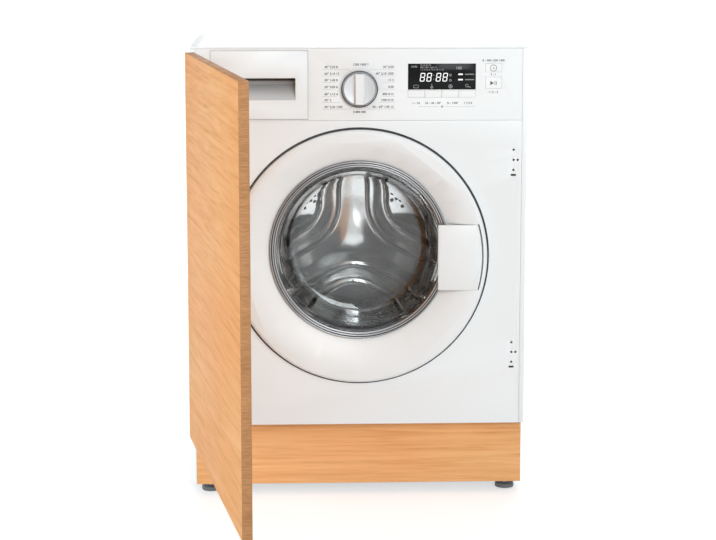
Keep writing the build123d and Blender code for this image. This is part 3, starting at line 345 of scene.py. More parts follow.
def turned(name, x, level, rings, steps, ends="bridged", upright=False):
    """Rings of (radius, reach, rise), each extruded from the last round one line.

    The line runs back from the white front at a height, or up at a depth behind it where the
    piece is upright. A rise of 0 is left out. The ends are bridged, capped or left open.
    """
    rings = [(*ring, 0)[:3] for ring in rings]
    places = [(x, FRONT + level, reach) if upright else (x, FRONT + reach, level + rise)
              for _, reach, rise in rings]
    piece = started(name, bpy.ops.mesh.primitive_circle_add, vertices=steps, radius=rings[0][0],
                    rotation=(0 if upright else pi / 2, 0, 0), location=places[0])
    for last, ring, old, new in zip(rings, rings[1:], places, places[1:]):
        grow = ring[0] / last[0]
        bpy.ops.mesh.extrude_region_move(
            TRANSFORM_OT_translate={"value": [to - was for to, was in zip(new, old)]})
        bpy.ops.transform.resize(value=(grow, grow, 1) if upright else (grow, 1, grow),
                                 center_override=new)
    bpy.ops.mesh.select_all(action="DESELECT")
    bpy.ops.mesh.select_non_manifold()
    if ends == "bridged":
        bpy.ops.mesh.bridge_edge_loops()
    elif ends == "capped":
        bpy.ops.mesh.fill_holes(sides=0)
    finished()
    return piece


pad_rings = [(0.0150, 0), (0.0168, 0.0006), (0.0175, 0.0018), (0.0175, 0.0042), (0.0170, 0.0047),
             (0.0170, 0.0052), (0.0174, 0.0057), (0.0172, 0.0070), (0.0162, 0.0080),
             (0.0130, 0.0086), (0.0100, 0.0087), (0.0086, 0.0090), (0.0052, 0.0090)]
screw_rings = [(0.0049, 0.0070), (0.0049, 0.0100)]
for turn in range(24):
    screw_rings += [(0.0043, 0.0104 + THREAD * turn), (0.0050, 0.0111 + THREAD * turn)]
nut_rings = [(0.0084, 0.0180), (0.0095, 0.0186), (0.0095, 0.0234), (0.0084, 0.0240)]
for side, foot_x in FOOT_XS.items():
    for end, foot_y in FOOT_YS.items():
        body = f"levelling_foot_{end}_{side}"
        pad = turned(f"foot_pad_{end}_{side}", foot_x, foot_y, pad_rings, 48, "capped", True)
        settle(pad, pad_rubber, body, "foot_grey", f"foot_{end}_{side}")
        screw = turned(f"foot_screw_{end}_{side}", foot_x, foot_y, screw_rings, 24, "capped", True)
        settle(screw, plated, body, "steel", angle=50)
        nut = turned(f"foot_nut_{end}_{side}", foot_x, foot_y, nut_rings, 6, "capped", True)
        settle(nut, plated, body, "steel")

# Inside the casing: moulded plastic, cast and pressed metal parts that carry and drive the drum.
# They are bolted or clipped to each other and stay out of sight until something opens.
grey_plastic = uneven("inner_plastic", (0.62, 0.63, 0.64), 0.45, 0.002, 0.05, 0.1, 0.25)
rubber = uneven("grey_rubber", (0.28, 0.29, 0.3), 0.5, 0.002, 0.1, 0.15, 0.3)
black_rubber = uneven("black_rubber", (0.03, 0.03, 0.032), 0.5, 0.002, 0.2, 0.15, 0.3)
cast_iron = uneven("cast_weight", (0.18, 0.18, 0.185), 0.6, 0.003, 0.2, 0.2, 0.8, Metallic=0.6)
cast_aluminium = uneven("cast_aluminium", (0.55, 0.56, 0.57), 0.42, 0.002, 0.1, 0.2, 0.5,
                        Metallic=0.9)
spring_steel = uneven("spring_steel", (0.45, 0.46, 0.48), 0.3, 0.003, 0.1, 0.2, 0.1, Metallic=1.0)
laminate = uneven("circuit_board", (0.03, 0.22, 0.09), 0.4, 0.002, 0.2, 0.15, 0.2)


def dress(material, *nodes):
    """Gives solids that stay as they are their finish."""
    for node in nodes:
        frame["nodes"][node].data.materials.clear()
        frame["nodes"][node].data.materials.append(material)


dress(grey_plastic, "rear_fittings", "inlet_valve", "drain_pump", "pump_filter", "tub_front",
      "tub_rear", "door_lock")
dress(rubber, "water_hoses", "drain_hoses")
dress(black_rubber, "shaft_seal", "drive_belt")
dress(cast_iron, "counterweights")
dress(cast_aluminium, "drum_spider", "drum_pulley", "motor_housing")
dress(spring_steel, "suspension_springs", "shock_absorbers", "heating_element", "drum_bearings",
      "motor_pulley")
dress(laminate, "control_board")

# Drum: polished stainless sheet rolled into a shell, with rows of small drain holes, and a
# rear wall pressed into a three-armed star. Both are folded together at the rim. The holes are
# painted near-black, painted shade for the dark seen through them.
DRUM_Z, SHELL_RADIUS = 0.415, 0.2353


def joined(name, pieces):
    """Makes one piece of several."""
    bpy.ops.object.select_all(action="DESELECT")
    for piece in pieces:
        piece.select_set(True)
    bpy.context.view_layer.objects.active = pieces[0]
    bpy.ops.object.join()
    pieces[0].name = name
    return pieces[0]


drain_holes, came, goes = new_effect(
    "drain_holes", {"Across": 0.0, "Along": 0.0, "Pitch": 0.02, "Hole": 0.0016}, {"Hole": 0.0})
rows = figure(drain_holes, "DIVIDE", came["Along"], came["Pitch"])
odd = figure(drain_holes, "MODULO", figure(drain_holes, "FLOOR", rows), 2.0)
columns = figure(drain_holes, "DIVIDE", came["Across"], came["Pitch"])
stagger = figure(drain_holes, "MULTIPLY_ADD", odd, 0.5, columns)
gaps = [figure(drain_holes, "SUBTRACT", figure(drain_holes, "FRACT", count), 0.5)
        for count in (rows, stagger)]
flat = add(drain_holes, "CombineXYZ", {"X": gaps[0], "Y": gaps[1]}).outputs[0]
off = add(drain_holes, "VectorMath", {0: flat}, operation="LENGTH").outputs["Value"]
far = figure(drain_holes, "MULTIPLY", off, came["Pitch"])
drain_holes.links.new(figure(drain_holes, "LESS_THAN", far, came["Hole"]), goes["Hole"])


def stainless(name, roughness, tint):
    """Polished sheet with its fine rolling marks."""
    material, tree, shader = surface(name, (0.5, 0.5, 0.51), roughness, Metallic=1.0)
    place = add(tree, "TexCoord").outputs["Object"]
    marks = stretched(tree, place, (1200.0, 1200.0, 30.0), 2.0)
    tone = spread(tree, noise(tree, place, 14.0, 2.0), 0.3, 0.7, tint - 0.05, tint + 0.05)
    grey = add(tree, "CombineColor", {0: tone, 1: tone, 2: tone})
    gloss = spread(tree, marks, 0.0, 1.0, roughness - 0.05, roughness + 0.08)
    bump = add(tree, "Bump", {"Strength": 0.04, "Distance": 0.0002, "Height": marks})
    for socket, value in (("Base Color", grey.outputs[0]), ("Roughness", gloss),
                          ("Normal", bump.outputs[0])):
        tree.links.new(value, shader.inputs[socket])
    return material


def overlaid(material, mask, colour):
    """Lays another colour over a finish where a mask says so."""
    tree = material.node_tree
    base = tree.nodes["Principled BSDF"].inputs["Base Color"]
    tree.links.new(blended(tree, mask, base.links[0].from_socket, colour), base)


shell_steel = stainless("drum_shell_steel", 0.2, 0.62)
tree = shell_steel.node_tree
apart = add(tree, "SeparateXYZ", {"Vector": add(tree, "TexCoord").outputs["Object"]}).outputs
up = figure(tree, "SUBTRACT", apart["Z"], DRUM_Z)
girth = figure(tree, "MULTIPLY", figure(tree, "ARCTAN2", apart["X"], up), SHELL_RADIUS)
# The drain holes are not cut but painted near-black: painted shade standing for the dark behind
# each hole.
painted_hole_shade = add(tree, "Group", {"Across": girth, "Along": apart["Y"], "Pitch": 0.0211,
                            "Hole": 0.0021}, node_tree=drain_holes).outputs[0]
overlaid(shell_steel, painted_hole_shade, (0.012, 0.012, 0.013, 1))
shell = turned("drum_shell_made", 0, DRUM_Z, [
    (0.2360, 0.3980), (0.2360, 0.3000), (0.2376, 0.2960), (0.2376, 0.2900), (0.2360, 0.2860),
    (0.2360, 0.1100), (0.2345, 0.1040), (0.2300, 0.0992), (0.2230, 0.0968), (0.1860, 0.0942),
    (0.1815, 0.0945), (0.1793, 0.0962), (0.1790, 0.0985), (0.1800, 0.0988), (0.1806, 0.0966),
    (0.1830, 0.0955), (0.2226, 0.0981), (0.2292, 0.1004), (0.2334, 0.1046), (0.2348, 0.1100),
    (0.2348, 0.2860), (0.2364, 0.2900), (0.2364, 0.2960), (0.2348, 0.3000), (0.2348, 0.3980)],
    steps=160)
settle(shell, shell_steel, "drum", "stainless", "drum_shell", angle=50)

STAR_Y, STAR_REACH = 0.356, 0.2235
WALL_SHEET, WALL_STEPS, WALL_RING = 0.0016, 336, 0.0020
PRESSED_REACH, POLE_REACH = 0.2262, 0.0050
STAR_HALF, STAR_FLARE, STAR_ROUND = 0.028, 0.020, 0.100
HUB_REACH, HUB_DOME, HUB_HOLLOW = 0.095, 0.009, 0.0022
BEAD, BANK, BAND, RIM, WINDOW, DISH = -0.0026, 0.0050, 0.0030, -0.0024, 0.0085, 0.0065
DISH_FROM = -0.060


def smooth(value):
    """An eased step from 0 to 1."""
    value = min(max(value, 0), 1)
    return value * value * (3 - 2 * value)


def ridge(across):
    """A low ridge whose height goes from 0 to 1 and back."""
    return smooth(across / 0.004) - smooth((across - 0.005) / 0.0025)


def star_depth(x, up):
    """How far the pressing goes back at one point of the rear wall."""
    radius = (x * x + up * up) ** 0.5
    window, side = max((x * cos(turn) + up * sin(turn), abs(up * cos(turn) - x * sin(turn)))
                       for turn in (radians(30), radians(150), radians(270)))
    half = STAR_HALF + STAR_FLARE * smooth((radius - 0.140) / 0.060)
    corner = (half + STAR_ROUND) / sin(radians(60))
    if (window - corner) * 0.5 + side * sin(radians(60)) < 0:
        inside = STAR_ROUND - ((window - corner) ** 2 + side * side) ** 0.5
    else:
        inside = window * sin(radians(60)) - side * 0.5 - half
    inside = min(inside, STAR_REACH - radius)
    depth = HUB_DOME * (smooth(radius / HUB_REACH) - 1)
    depth += HUB_HOLLOW * (1 - smooth(-inside / 0.034))
    depth += BEAD * ridge(inside + 0.0045)
    depth += BANK * smooth(inside / 0.0042)
    depth += BAND * smooth((inside - 0.008) / 0.024)
    depth += RIM * ridge(inside - 0.0325)
    depth += WINDOW * smooth((inside - 0.037) / 0.006)
    if up > DISH_FROM:
        depth += DISH * smooth((inside - 0.037) / 0.012) * smooth((0.052 - up) / 0.034)
    return depth


wall_rings = [(0.2346, 0.398), (0.2346, 0.364), (0.2325, 0.359), (0.2290, 0.3565)]
wall_rings += [(0.226 - WALL_RING * step, STAR_Y) for step in range(112)]
rear_wall = turned("drum_rear_made", 0, DRUM_Z, wall_rings, steps=WALL_STEPS, ends="open")
for part in (rear_wall.data.edges, rear_wall.data.polygons):
    part.foreach_set("select", [False] * len(part))
for vertex in rear_wall.data.vertices:
    x, up = vertex.co.x, vertex.co.z - DRUM_Z
    radius = (x * x + up * up) ** 0.5
    vertex.select = radius < POLE_REACH
    if radius < PRESSED_REACH:
        vertex.co.y = FRONT + STAR_Y + star_depth(x, up)
only(rear_wall)
bpy.ops.object.mode_set(mode="EDIT")
bpy.ops.mesh.merge(type="CENTER")
bpy.ops.object.mode_set(mode="OBJECT")
thickness = rear_wall.modifiers.new("sheet", "SOLIDIFY")
thickness.thickness, thickness.offset = WALL_SHEET, -1
bpy.ops.object.modifier_apply(modifier=thickness.name)
settle(rear_wall, stainless("drum_star_steel", 0.15, 0.55), "drum", "stainless",
       "drum_rear_wall", angle=60)
# The rear wall's holes are shallow cups coloured near-black: painted shade for the dark seen
# through each hole.
black_hole_shade = uneven("hole_shade_black", (0.01, 0.01, 0.011), 0.6, 0.002, 0.2, 0.1, 0.1)
HOLE_PLACES = ((0.0790, 0.0900), (0.0870, 0.0795), (0.0780, 0.0765), (0.0950, 0.0760),
               (0.0990, 0.0640))  # aside and up from the drum's middle
hole_rings = [(0.0037, 0.0008), (0.0037, -0.0006), (0.0032, -0.0008), (0.0026, -0.0003),
              (0.0002, -0.0001)]
holes = []
for x, up in HOLE_PLACES:
    for hole_x in (-x, x):
        depth = STAR_Y + star_depth(hole_x, up)
        holes.append(turned("hole", hole_x, DRUM_Z + up, [
            (radius, depth + reach) for radius, reach in hole_rings], steps=16, ends="capped"))
settle(joined("drum_wall_holes", holes), black_hole_shade, "drum", "stainless", angle=60)
softened("drum_lifters", 0.0015, shell_steel, "stainless", segments=3)

# Door gasket: moulded grey rubber bellows, clamped to the tub's neck and to the rim of the
# white front. Its lip closes on the glass, and its folds let the tub swing.
GLASS_Z = 0.456
gasket_rubber = uneven("gasket_rubber", (0.52, 0.53, 0.54), 0.3, 0.003, 0.06, 0.1, 0.2)
folds = [(0.1503, 0.0160), (0.1503, 0.0188), (0.1560, 0.0200), (0.1640, 0.0196),
         (0.1672, 0.0215), (0.1680, 0.0250), (0.1680, 0.0320, -0.001), (0.1700, 0.0370, -0.004),
         (0.1660, 0.0410, -0.008), (0.1640, 0.0450, -0.012), (0.1670, 0.0490, -0.016),
         (0.1760, 0.0520, -0.020), (0.1770, 0.0560, -0.025), (0.1740, 0.0600, -0.031),
         (0.1765, 0.0640, -0.037), (0.1850, 0.0665, -0.041), (0.1868, 0.0700, -0.041),
         (0.1868, 0.0810, -0.041), (0.1908, 0.0810, -0.041), (0.1908, 0.0660, -0.041),
         (0.1890, 0.0630, -0.039), (0.1810, 0.0600, -0.035), (0.1800, 0.0570, -0.029),
         (0.1800, 0.0500, -0.022), (0.1700, 0.0460, -0.016), (0.1690, 0.0430, -0.010),
         (0.1730, 0.0390, -0.006), (0.1715, 0.0340, -0.001), (0.1716, 0.0300), (0.1716, 0.0160)]
gasket = turned("gasket_made", 0, GLASS_Z, folds, steps=144)
settle(gasket, gasket_rubber, "casing", "grey_rubber", "door_gasket", angle=70)

# White front: the casing's front sheet, pressed back to seat the porthole and bored for the
# decor door's hinges. It is screwed to the side panels' folds.
softened("front_panel", 0.0012, enamel, "white_enamel", segments=3)

# Fascia: a moulded white cover, clipped over the front edge of the casing. The programme
# scale, its leader lines and the numbers under the keys are screen-printed in grey.
moulded = uneven("white_fascia", (0.87, 0.875, 0.88), 0.38, 0.002, 0.01, 0.06, 0.08)
softened("control_fascia", 0.0009, moulded, "white_fascia")
INK_DEPTH = 0.00006


def inked():
    """Gives the open flat print its thickness."""
    bpy.ops.mesh.select_all(action="SELECT")
    bpy.ops.mesh.extrude_region_move(TRANSFORM_OT_translate={"value": (0, -INK_DEPTH, 0)})
    finished()


def bar(x0, x1, z0, z1, depth=0.0):
    """A printed bar with its corners taken off."""
    wide, high = x1 - x0, z1 - z0
    plate = started("bar", bpy.ops.mesh.primitive_plane_add, (wide, high, 1), size=1,
                    rotation=(pi / 2, 0, 0), location=(x0 + wide / 2, FRONT + depth, z0 + high / 2))
    bpy.ops.mesh.bevel(offset=min(wide, high) * 0.2, affect="VERTICES")
    inked()
    return plate


def slant(x0, z0, x1, z1, width, depth=0.0):
    """A printed line between two points of the fascia."""
    run, rise = x1 - x0, z1 - z0
    length = (run * run + rise * rise) ** 0.5
    line = bar(-length / 2, length / 2, -width / 2, width / 2, depth)
    for vertex in line.data.vertices:
        along, off = vertex.co.x / length, vertex.co.z / length
        vertex.co.x = x0 + run * (along + 0.5) - rise * off
        vertex.co.z = z0 + rise * (along + 0.5) + run * off
    return line


def number(text, x, z, size, align="CENTER", depth=0.0):
    """Printed numbers, made a mesh."""
    bpy.ops.object.select_all(action="DESELECT")
    bpy.ops.object.text_add(rotation=(pi / 2, 0, 0), location=(x, FRONT + depth - INK_DEPTH / 2, z))
    words = bpy.context.object
    words.data.body, words.data.size = text, size
    words.data.align_x, words.data.align_y = align, "CENTER"
    words.data.extrude, words.data.offset = INK_DEPTH / 2, size * 0.024
    words.data.resolution_u = 3
    bpy.ops.object.convert(target="MESH")
    bpy.ops.object.transform_apply(location=True, rotation=True, scale=True)
    opened(bpy.context.object)
    bpy.ops.mesh.remove_doubles(threshold=0.000001)
    bpy.ops.object.mode_set(mode="OBJECT")
    return bpy.context.object


def hoop(x, z, radius, width, depth=0.0, steps=28):
    """A printed ring."""
    ring = started("hoop", bpy.ops.mesh.primitive_circle_add, vertices=steps, radius=radius,
                   rotation=(pi / 2, 0, 0), location=(x, FRONT + depth, z), fill_type="NGON")
    bpy.ops.mesh.inset(thickness=width)
    bpy.ops.mesh.delete(type="FACE")
    inked()
    return ring


KNOB_Z = 0.745
SCALE_REACH, SCALE_NEAR, SCALE_FAR = 0.0385, 0.016, (0.0660, 0.0630)
LINE, NUMBER = 0.0004, 0.0056
SCALE = ((0.7796, "40° 2:30 8", "20° 0:30"), (0.7679, "60° 3:10 12", "40° 2:10 1000"),
         (0.7565, "30° 1:40 8", "15 2"), (0.7445, "20° 0:50 6", "0:20"),
         (0.7317, "40° 1:15 4", "800 0:12"), (0.7212, "30° 2", "1000 0:15"),
         (0.7091, "90° 2:20 1200", "30 – 60° 1:05 12"))
prints, leads = [], []
for mark_z, left, right in SCALE:
    rise = mark_z - KNOB_Z
    reach = SCALE_REACH * SCALE_REACH - rise * rise
    bend = reach ** 0.5 + 0.004 if reach > 0 else SCALE_NEAR
    prints.append(number(left, -0.0618, mark_z + 0.0038, NUMBER, "LEFT"))
    prints.append(number(right, 0.0604, mark_z + 0.0038, NUMBER, "RIGHT"))
    for side, end in zip((-1, 1), SCALE_FAR):
        x0, x1 = sorted((side * bend, side * end))
        leads.append(bar(x0, x1, mark_z - LINE / 2, mark_z + LINE / 2))
        if abs(rise) > 0.03:
            leads.append(slant(side * bend, mark_z, side * (bend - 0.005),
                               mark_z - rise / abs(rise) * 0.0035, LINE))
for text, x, z, size in (
        ("1200 1400", 0.0, 0.7878, 0.0054), ("0 800 400", 0.0, 0.7040, 0.0054),
        ("1 – 24", 0.0999, 0.7194, 0.0052), ("20 – 30 – 90°", 0.1302, 0.7194, 0.0052),
        ("0 – 1400", 0.1643, 0.7194, 0.0052), ("1 2 3 4", 0.1918, 0.7194, 0.0052),
        ("8 – 800 1200 1400", 0.2365, 0.7944, 0.0052), ("0 – 1", 0.2365, 0.7698, 0.0048),
        ("1 / 2 – 3", 0.2365, 0.7386, 0.0050)):
    prints.append(number(text, x, z, size))
prints += [hoop(0.0140, 0.7885, 0.0020, 0.0004), hoop(0.1461, 0.7133, 0.0018, 0.0010)]
leads += [bar(x0, x1, 0.7131, 0.7131 + LINE) for x0, x1 in ((0.1059, 0.1400), (0.1520, 0.2040))]
leads += [bar(x, x + LINE, 0.7135, 0.7156) for x in (0.1059, 0.2036)]
ink = uneven("print_grey", (0.07, 0.07, 0.073), 0.5, 0.001, 0.1, 0.1, 0.1)
pale_ink = uneven("print_pale", (0.38, 0.38, 0.385), 0.5, 0.001, 0.1, 0.1, 0.1)
settle(joined("scale_numbers", prints), ink, "casing", "white_fascia")
settle(joined("scale_lines", leads), pale_ink, "casing", "white_fascia")

# Programme knob: a satin silver disc in a dark chrome hoop, with a pale moulded grip across
# it that stands proud. It is pushed on to the selector's shaft.
satin = uneven("knob_satin", (0.48, 0.48, 0.49), 0.36, 0.02, 0.05, 0.1, 0.03, Metallic=0.9)
hoop_chrome = uneven("knob_chrome", (0.17, 0.17, 0.175), 0.18, 0.003, 0.1, 0.08, 0.03, Metallic=1.0)
grip_pearl = uneven("knob_grip", (0.86, 0.86, 0.865), 0.3, 0.002, 0.02, 0.08, 0.04)
disc_rings = [(0.0310, -0.0010), (0.0310, -0.0064), (0.0306, -0.0072), (0.0300, -0.0075),
              (0.0294, -0.0072), (0.0291, -0.0064), (0.0289, -0.0044), (0.0283, -0.0044),
              (0.0281, -0.0064), (0.0276, -0.0070), (0.0262, -0.0069), (0.0200, -0.0062),
              (0.0100, -0.0058), (0.0002, -0.0058)]
settle(turned("knob_disc", 0, KNOB_Z, disc_rings, steps=96, ends="capped"), satin, "knob",
       "knob_silver", "programme_knob", angle=50)
hoop_rings = [(0.0310, -0.0010), (0.0322, -0.0010), (0.0325, -0.0022), (0.0325, -0.0062),
              (0.0322, -0.0074), (0.0317, -0.0080), (0.0313, -0.0077), (0.0310, -0.0068)]
settle(turned("knob_hoop", 0, KNOB_Z, hoop_rings, steps=96), hoop_chrome, "knob", "knob_silver",
       angle=50)
grip = started("knob_grip", bpy.ops.mesh.primitive_cube_add, (0.0205, 0.0112, 0.0545), size=1,
               location=(0, FRONT - 0.0115, KNOB_Z))
picked(grip, lambda centre, way, area: way.y < -0.9)
bpy.ops.transform.resize(value=(0.66, 1, 0.97), center_override=(0, FRONT - 0.017, KNOB_Z))
bpy.ops.mesh.inset(thickness=0.0012)
bpy.ops.transform.translate(value=(0, 0.0006, 0))
finished()
rounded(grip, 0.0011, 3, angle=0)
settle(grip, grip_pearl, "knob", "knob_silver", angle=40)

# Display: a smoked pane over the clock, with lit white figures and marks behind it.
# Four touch keys stand under it, and two buttons at its right.
display_black = uneven("display_black", (0.006, 0.006, 0.007), 0.14, 0.003, 0.1, 0.05, 0.02,
                       Specular_IOR_Level=0.12)
softened("display_window", 0.0002, display_black, "display_black")
PANE, CAP = 0.0002, -0.0006
CLOCK_Z, CLOCK_HIGH, CLOCK_WIDE, STROKE = 0.7652, 0.0152, 0.0084, 0.0015
CLOCK_LEAN = 0.14
figures, dim = [], []
for left in (0.1070, 0.1188, 0.1352, 0.1470):
    right, half = left + CLOCK_WIDE, CLOCK_HIGH / 2
    for z in (CLOCK_Z + half - STROKE, CLOCK_Z - STROKE / 2, CLOCK_Z - half):
        figures.append(bar(left + 0.0011, right - 0.0011, z, z + STROKE, PANE))
    for x in (left, right - STROKE):
        for z0, z1 in ((CLOCK_Z + 0.0006, CLOCK_Z + half - 0.0009),
                       (CLOCK_Z - half + 0.0009, CLOCK_Z - 0.0006)):
            figures.append(bar(x, x + STROKE, z0, z1, PANE))
for z in (0.7618, 0.7690):
    dim.append(bar(0.1303, 0.1318, z - 0.0008, z + 0.0008, PANE))
for z in (0.7702, 0.7608):
    figures.append(bar(0.1742, 0.1824, z - 0.0013, z + 0.0013, PANE))
    dim.append(bar(0.1862, 0.2025, z - 0.0009, z + 0.0009, PANE))
    dim.append(hoop(0.1605, z - 0.0012, 0.0022, 0.0011, PANE, steps=16))
for text, x, z, size, align in (
        ("30 40 60 90", 0.1072, 0.7864, 0.0039, "LEFT"),
        ("800 1000 1200 14", 0.1072, 0.7824, 0.0039, "LEFT"),
        ("1 2 3 4 5 6 7 8 9 10 11 12", 0.1072, 0.7784, 0.0039, "LEFT"),
        ("24:00", 0.0965, 0.7838, 0.0048, "CENTER"), ("188", 0.1750, 0.7812, 0.0072, "CENTER")):
    dim.append(number(text, x, z, size, align, PANE))
for x0, x1, z0, z1 in (  # a wash tub and a thermometer's stem
        (0.0953, 0.0963, 0.7466, 0.7520), (0.1033, 0.1043, 0.7466, 0.7520),
        (0.0953, 0.1043, 0.7460, 0.7469), (0.0975, 0.1021, 0.7510, 0.7518),
        (0.1271, 0.1281, 0.7480, 0.7535)):
    dim.append(bar(x0, x1, z0, z1, PANE))
dim += [hoop(0.1276, 0.7474, 0.0024, 0.0016, PANE, steps=16),
        hoop(0.1607, 0.7490, 0.0036, 0.0010, PANE), hoop(0.1607, 0.7490, 0.0018, 0.0012, PANE),
        hoop(0.1895, 0.7502, 0.0028, 0.0009, PANE),
        slant(0.1912, 0.7488, 0.1962, 0.7470, 0.0014, PANE)]
clock = joined("clock_figures", figures)
for vertex in clock.data.vertices:
    if 0.105 < vertex.co.x < 0.157:
        vertex.co.x += (vertex.co.z - CLOCK_Z) * CLOCK_LEAN
lit = uneven("figures_lit", (0.80, 0.80, 0.80), 0.4, 0.002, 0.02, 0.05, 0.0,
             Emission_Color=(1, 1, 1, 1), Emission_Strength=0.35)
unlit = uneven("figures_dim", (0.26, 0.26, 0.265), 0.4, 0.002, 0.05, 0.05, 0.0)
settle(clock, lit, "casing", "display_black")
settle(joined("display_marks", dim), unlit, "casing", "display_black")
key_white = uneven("key_white", (0.89, 0.89, 0.89), 0.3, 0.002, 0.01, 0.06, 0.05)
for key in ("key_1", "key_2", "key_3", "key_4", "power_button", "start_button"):
    softened(key, 0.0006, key_white, "key_white")
power_mark = joined("power_mark", [
    hoop(0.2365, 0.7812, 0.0060, 0.0009, CAP), bar(0.2361, 0.2368, 0.7805, 0.7842, CAP),
    bar(0.2361, 0.2392, 0.7798, 0.7805, CAP)])
settle(power_mark, ink, "power_key", "key_white")
arrow = started("arrow", bpy.ops.mesh.primitive_circle_add, vertices=3, radius=0.0044,
                rotation=(pi / 2, pi / 2, 0), location=(0.2332, FRONT + CAP, 0.7546),
                fill_type="NGON")
inked()
start_mark = joined("start_mark", [arrow, bar(0.2388, 0.2398, 0.7510, 0.7582, CAP),
                                   bar(0.2413, 0.2423, 0.7510, 0.7582, CAP)])
settle(start_mark, ink, "start_key", "key_white")

# Detergent drawer: a moulded white front with a finger recess finished in grey, clipped to
# the arms of a tray with three compartments that slides in the dispenser housing. In the
# recess the grey is painted darker towards the top as shade, under a near-black strip of
# painted shadow below its upper lip.
drawer_white = uneven("drawer_white", (0.87, 0.875, 0.88), 0.38, 0.002, 0.01, 0.06, 0.08)
tree = drawer_white.node_tree
apart = add(tree, "SeparateXYZ", {"Vector": add(tree, "TexCoord").outputs["Object"]}).outputs
sunk = figure(tree, "GREATER_THAN", apart["Y"], FRONT + 0.0008)
# Painted shadow: near-black above this height, under the recess's upper lip; below it the grey is
# painted shade, darker towards the top.
painted_lip_shadow = figure(tree, "GREATER_THAN", apart["Z"], 0.7578)
grey = blended(tree, spread(tree, apart["Z"], 0.733, 0.757), (0.56, 0.56, 0.565, 1),
               (0.33, 0.33, 0.34, 1))
overlaid(drawer_white, sunk, blended(tree, painted_lip_shadow, grey, (0.004, 0.004, 0.004, 1)))
softened("drawer_front", 0.0010, drawer_white, "white_fascia")
tray_plastic = uneven("tray_plastic", (0.84, 0.85, 0.86), 0.4, 0.002, 0.02, 0.1, 0.1)
TRAY_CORNER = 0.0006
TRAY_XS = (-0.255, -0.253, -0.195, -0.193, -0.151, -0.149, -0.099, -0.097)
TRAY_YS, TRAY_ARM = (0.029, 0.031, 0.243, 0.245), 0.026
TRAY_ZS = (0.706, 0.708, 0.762)
limits = list(zip((TRAY_XS[0], FRONT + TRAY_YS[0], TRAY_ZS[0]),
                  (TRAY_XS[-1], FRONT + TRAY_YS[-1], TRAY_ZS[-1])))
tray = started("tray_made", bpy.ops.mesh.primitive_cube_add,
               [high - low for low, high in limits], size=1,
               location=[(low + high) / 2 for low, high in limits])
cuts = [((x, 0, 0), (1, 0, 0)) for x in TRAY_XS[1:-1]]
cuts += [((0, FRONT + y, 0), (0, 1, 0)) for y in TRAY_YS[1:-1]]
for place, way in cuts:
    bpy.ops.mesh.select_all(action="SELECT")
    bpy.ops.mesh.bisect(plane_co=place, plane_no=way)
picked(tray, lambda centre, way, area: way.z > 0.9 and area > 0.002)
bpy.ops.mesh.extrude_region_move(
    TRANSFORM_OT_translate={"value": (0, 0, TRAY_ZS[1] - TRAY_ZS[2])})
picked(tray, lambda centre, way, area: way.y < -0.9 and centre.y < FRONT + 0.030
       and not TRAY_XS[1] < centre.x < TRAY_XS[-2])
bpy.ops.mesh.extrude_region_move(TRANSFORM_OT_translate={"value": (0, -TRAY_ARM, 0)})
finished()
rounded(tray, TRAY_CORNER, 2)
settle(tray, tray_plastic, "drawer", "tray_white", "drawer_tray")
dress(tray_plastic, "dispenser_housing")

# Porthole door: a white moulded outer ring and back ring, screwed together round the glass.
# The outer ring is dished down to the glass, and carries the handle at the right.
ring_white = uneven("white_ring", (0.86, 0.865, 0.87), 0.32, 0.003, 0.01, 0.06, 0.05)
for node in ("door_outer_ring", "door_inner_ring"):
    softened(node, 0.001, ring_white, "white_ring", segments=3)

# Seal: a dark rubber edging pushed over the rim of the pressed seat, with a thin lip that lies
# on the white front. It closes the gap round the porthole's outer ring. Its black is painted
# shadow: it stands for the shade in that deep gap, and the lip carries the dark line out on to
# the front where the ring hides the gap.
SEAT_Z = 0.445
shadow_edging_profile = [(0.2309, 0.0000), (0.2316, 0.0000), (0.2319, -0.0002), (0.2316, -0.0005),
       (0.2310, -0.0006), (0.2301, -0.0004), (0.2297, 0.0004), (0.2296, 0.0020),
       (0.2296, 0.0122), (0.2300, 0.0132), (0.2309, 0.0134)]
settle(turned("seat_edging_painted_shadow", 0, SEAT_Z, shadow_edging_profile, steps=144), black_rubber, "casing", "grey_rubber")

# Glass: a pressed bowl with a flat flange, clear and slightly wavy as pressed glass is.
# It is clamped between the two rings and reaches into the drum's mouth.
glass, tree, shader = surface("door_glass", (0.97, 0.98, 0.98), 0.01, Transmission_Weight=1.0,
                              IOR=1.42)
ripple = noise(tree, add(tree, "TexCoord").outputs["Object"], 26.0, 1.0)
bump = add(tree, "Bump", {"Strength": 0.12, "Distance": 0.001, "Height": ripple})
tree.links.new(bump.outputs[0], shader.inputs["Normal"])
outside = [(0.0002, 0.0800), (0.050, 0.0797), (0.090, 0.0788), (0.110, 0.0776), (0.120, 0.0757),
           (0.1265, 0.0727), (0.1305, 0.0687), (0.1328, 0.0635), (0.1345, 0.0578),
           (0.1378, 0.0460), (0.1411, 0.0325), (0.1447, 0.0190), (0.1474, 0.0118),
           (0.1500, 0.0092), (0.1530, 0.0080), (0.1590, 0.0080), (0.1600, 0.0070)]
inside = [(0.1600, 0.0058), (0.1590, 0.0050), (0.1520, 0.0050), (0.1474, 0.0062),
          (0.1445, 0.0088), (0.1406, 0.0186), (0.1370, 0.0325), (0.1337, 0.0460),
          (0.1306, 0.0575), (0.1288, 0.0625), (0.1265, 0.0664), (0.1232, 0.0694),
          (0.1180, 0.0718), (0.1080, 0.0736), (0.0880, 0.0748), (0.0500, 0.0757),
          (0.0002, 0.0760)]
bowl = turned("glass_bowl", 0, GLASS_Z, outside + inside, steps=192, ends="capped")
opened(bowl)
bpy.ops.mesh.remove_doubles(threshold=0.0003)
finished()
settle(bowl, glass, "porthole_door", "door_glass", "door_glass", angle=60)

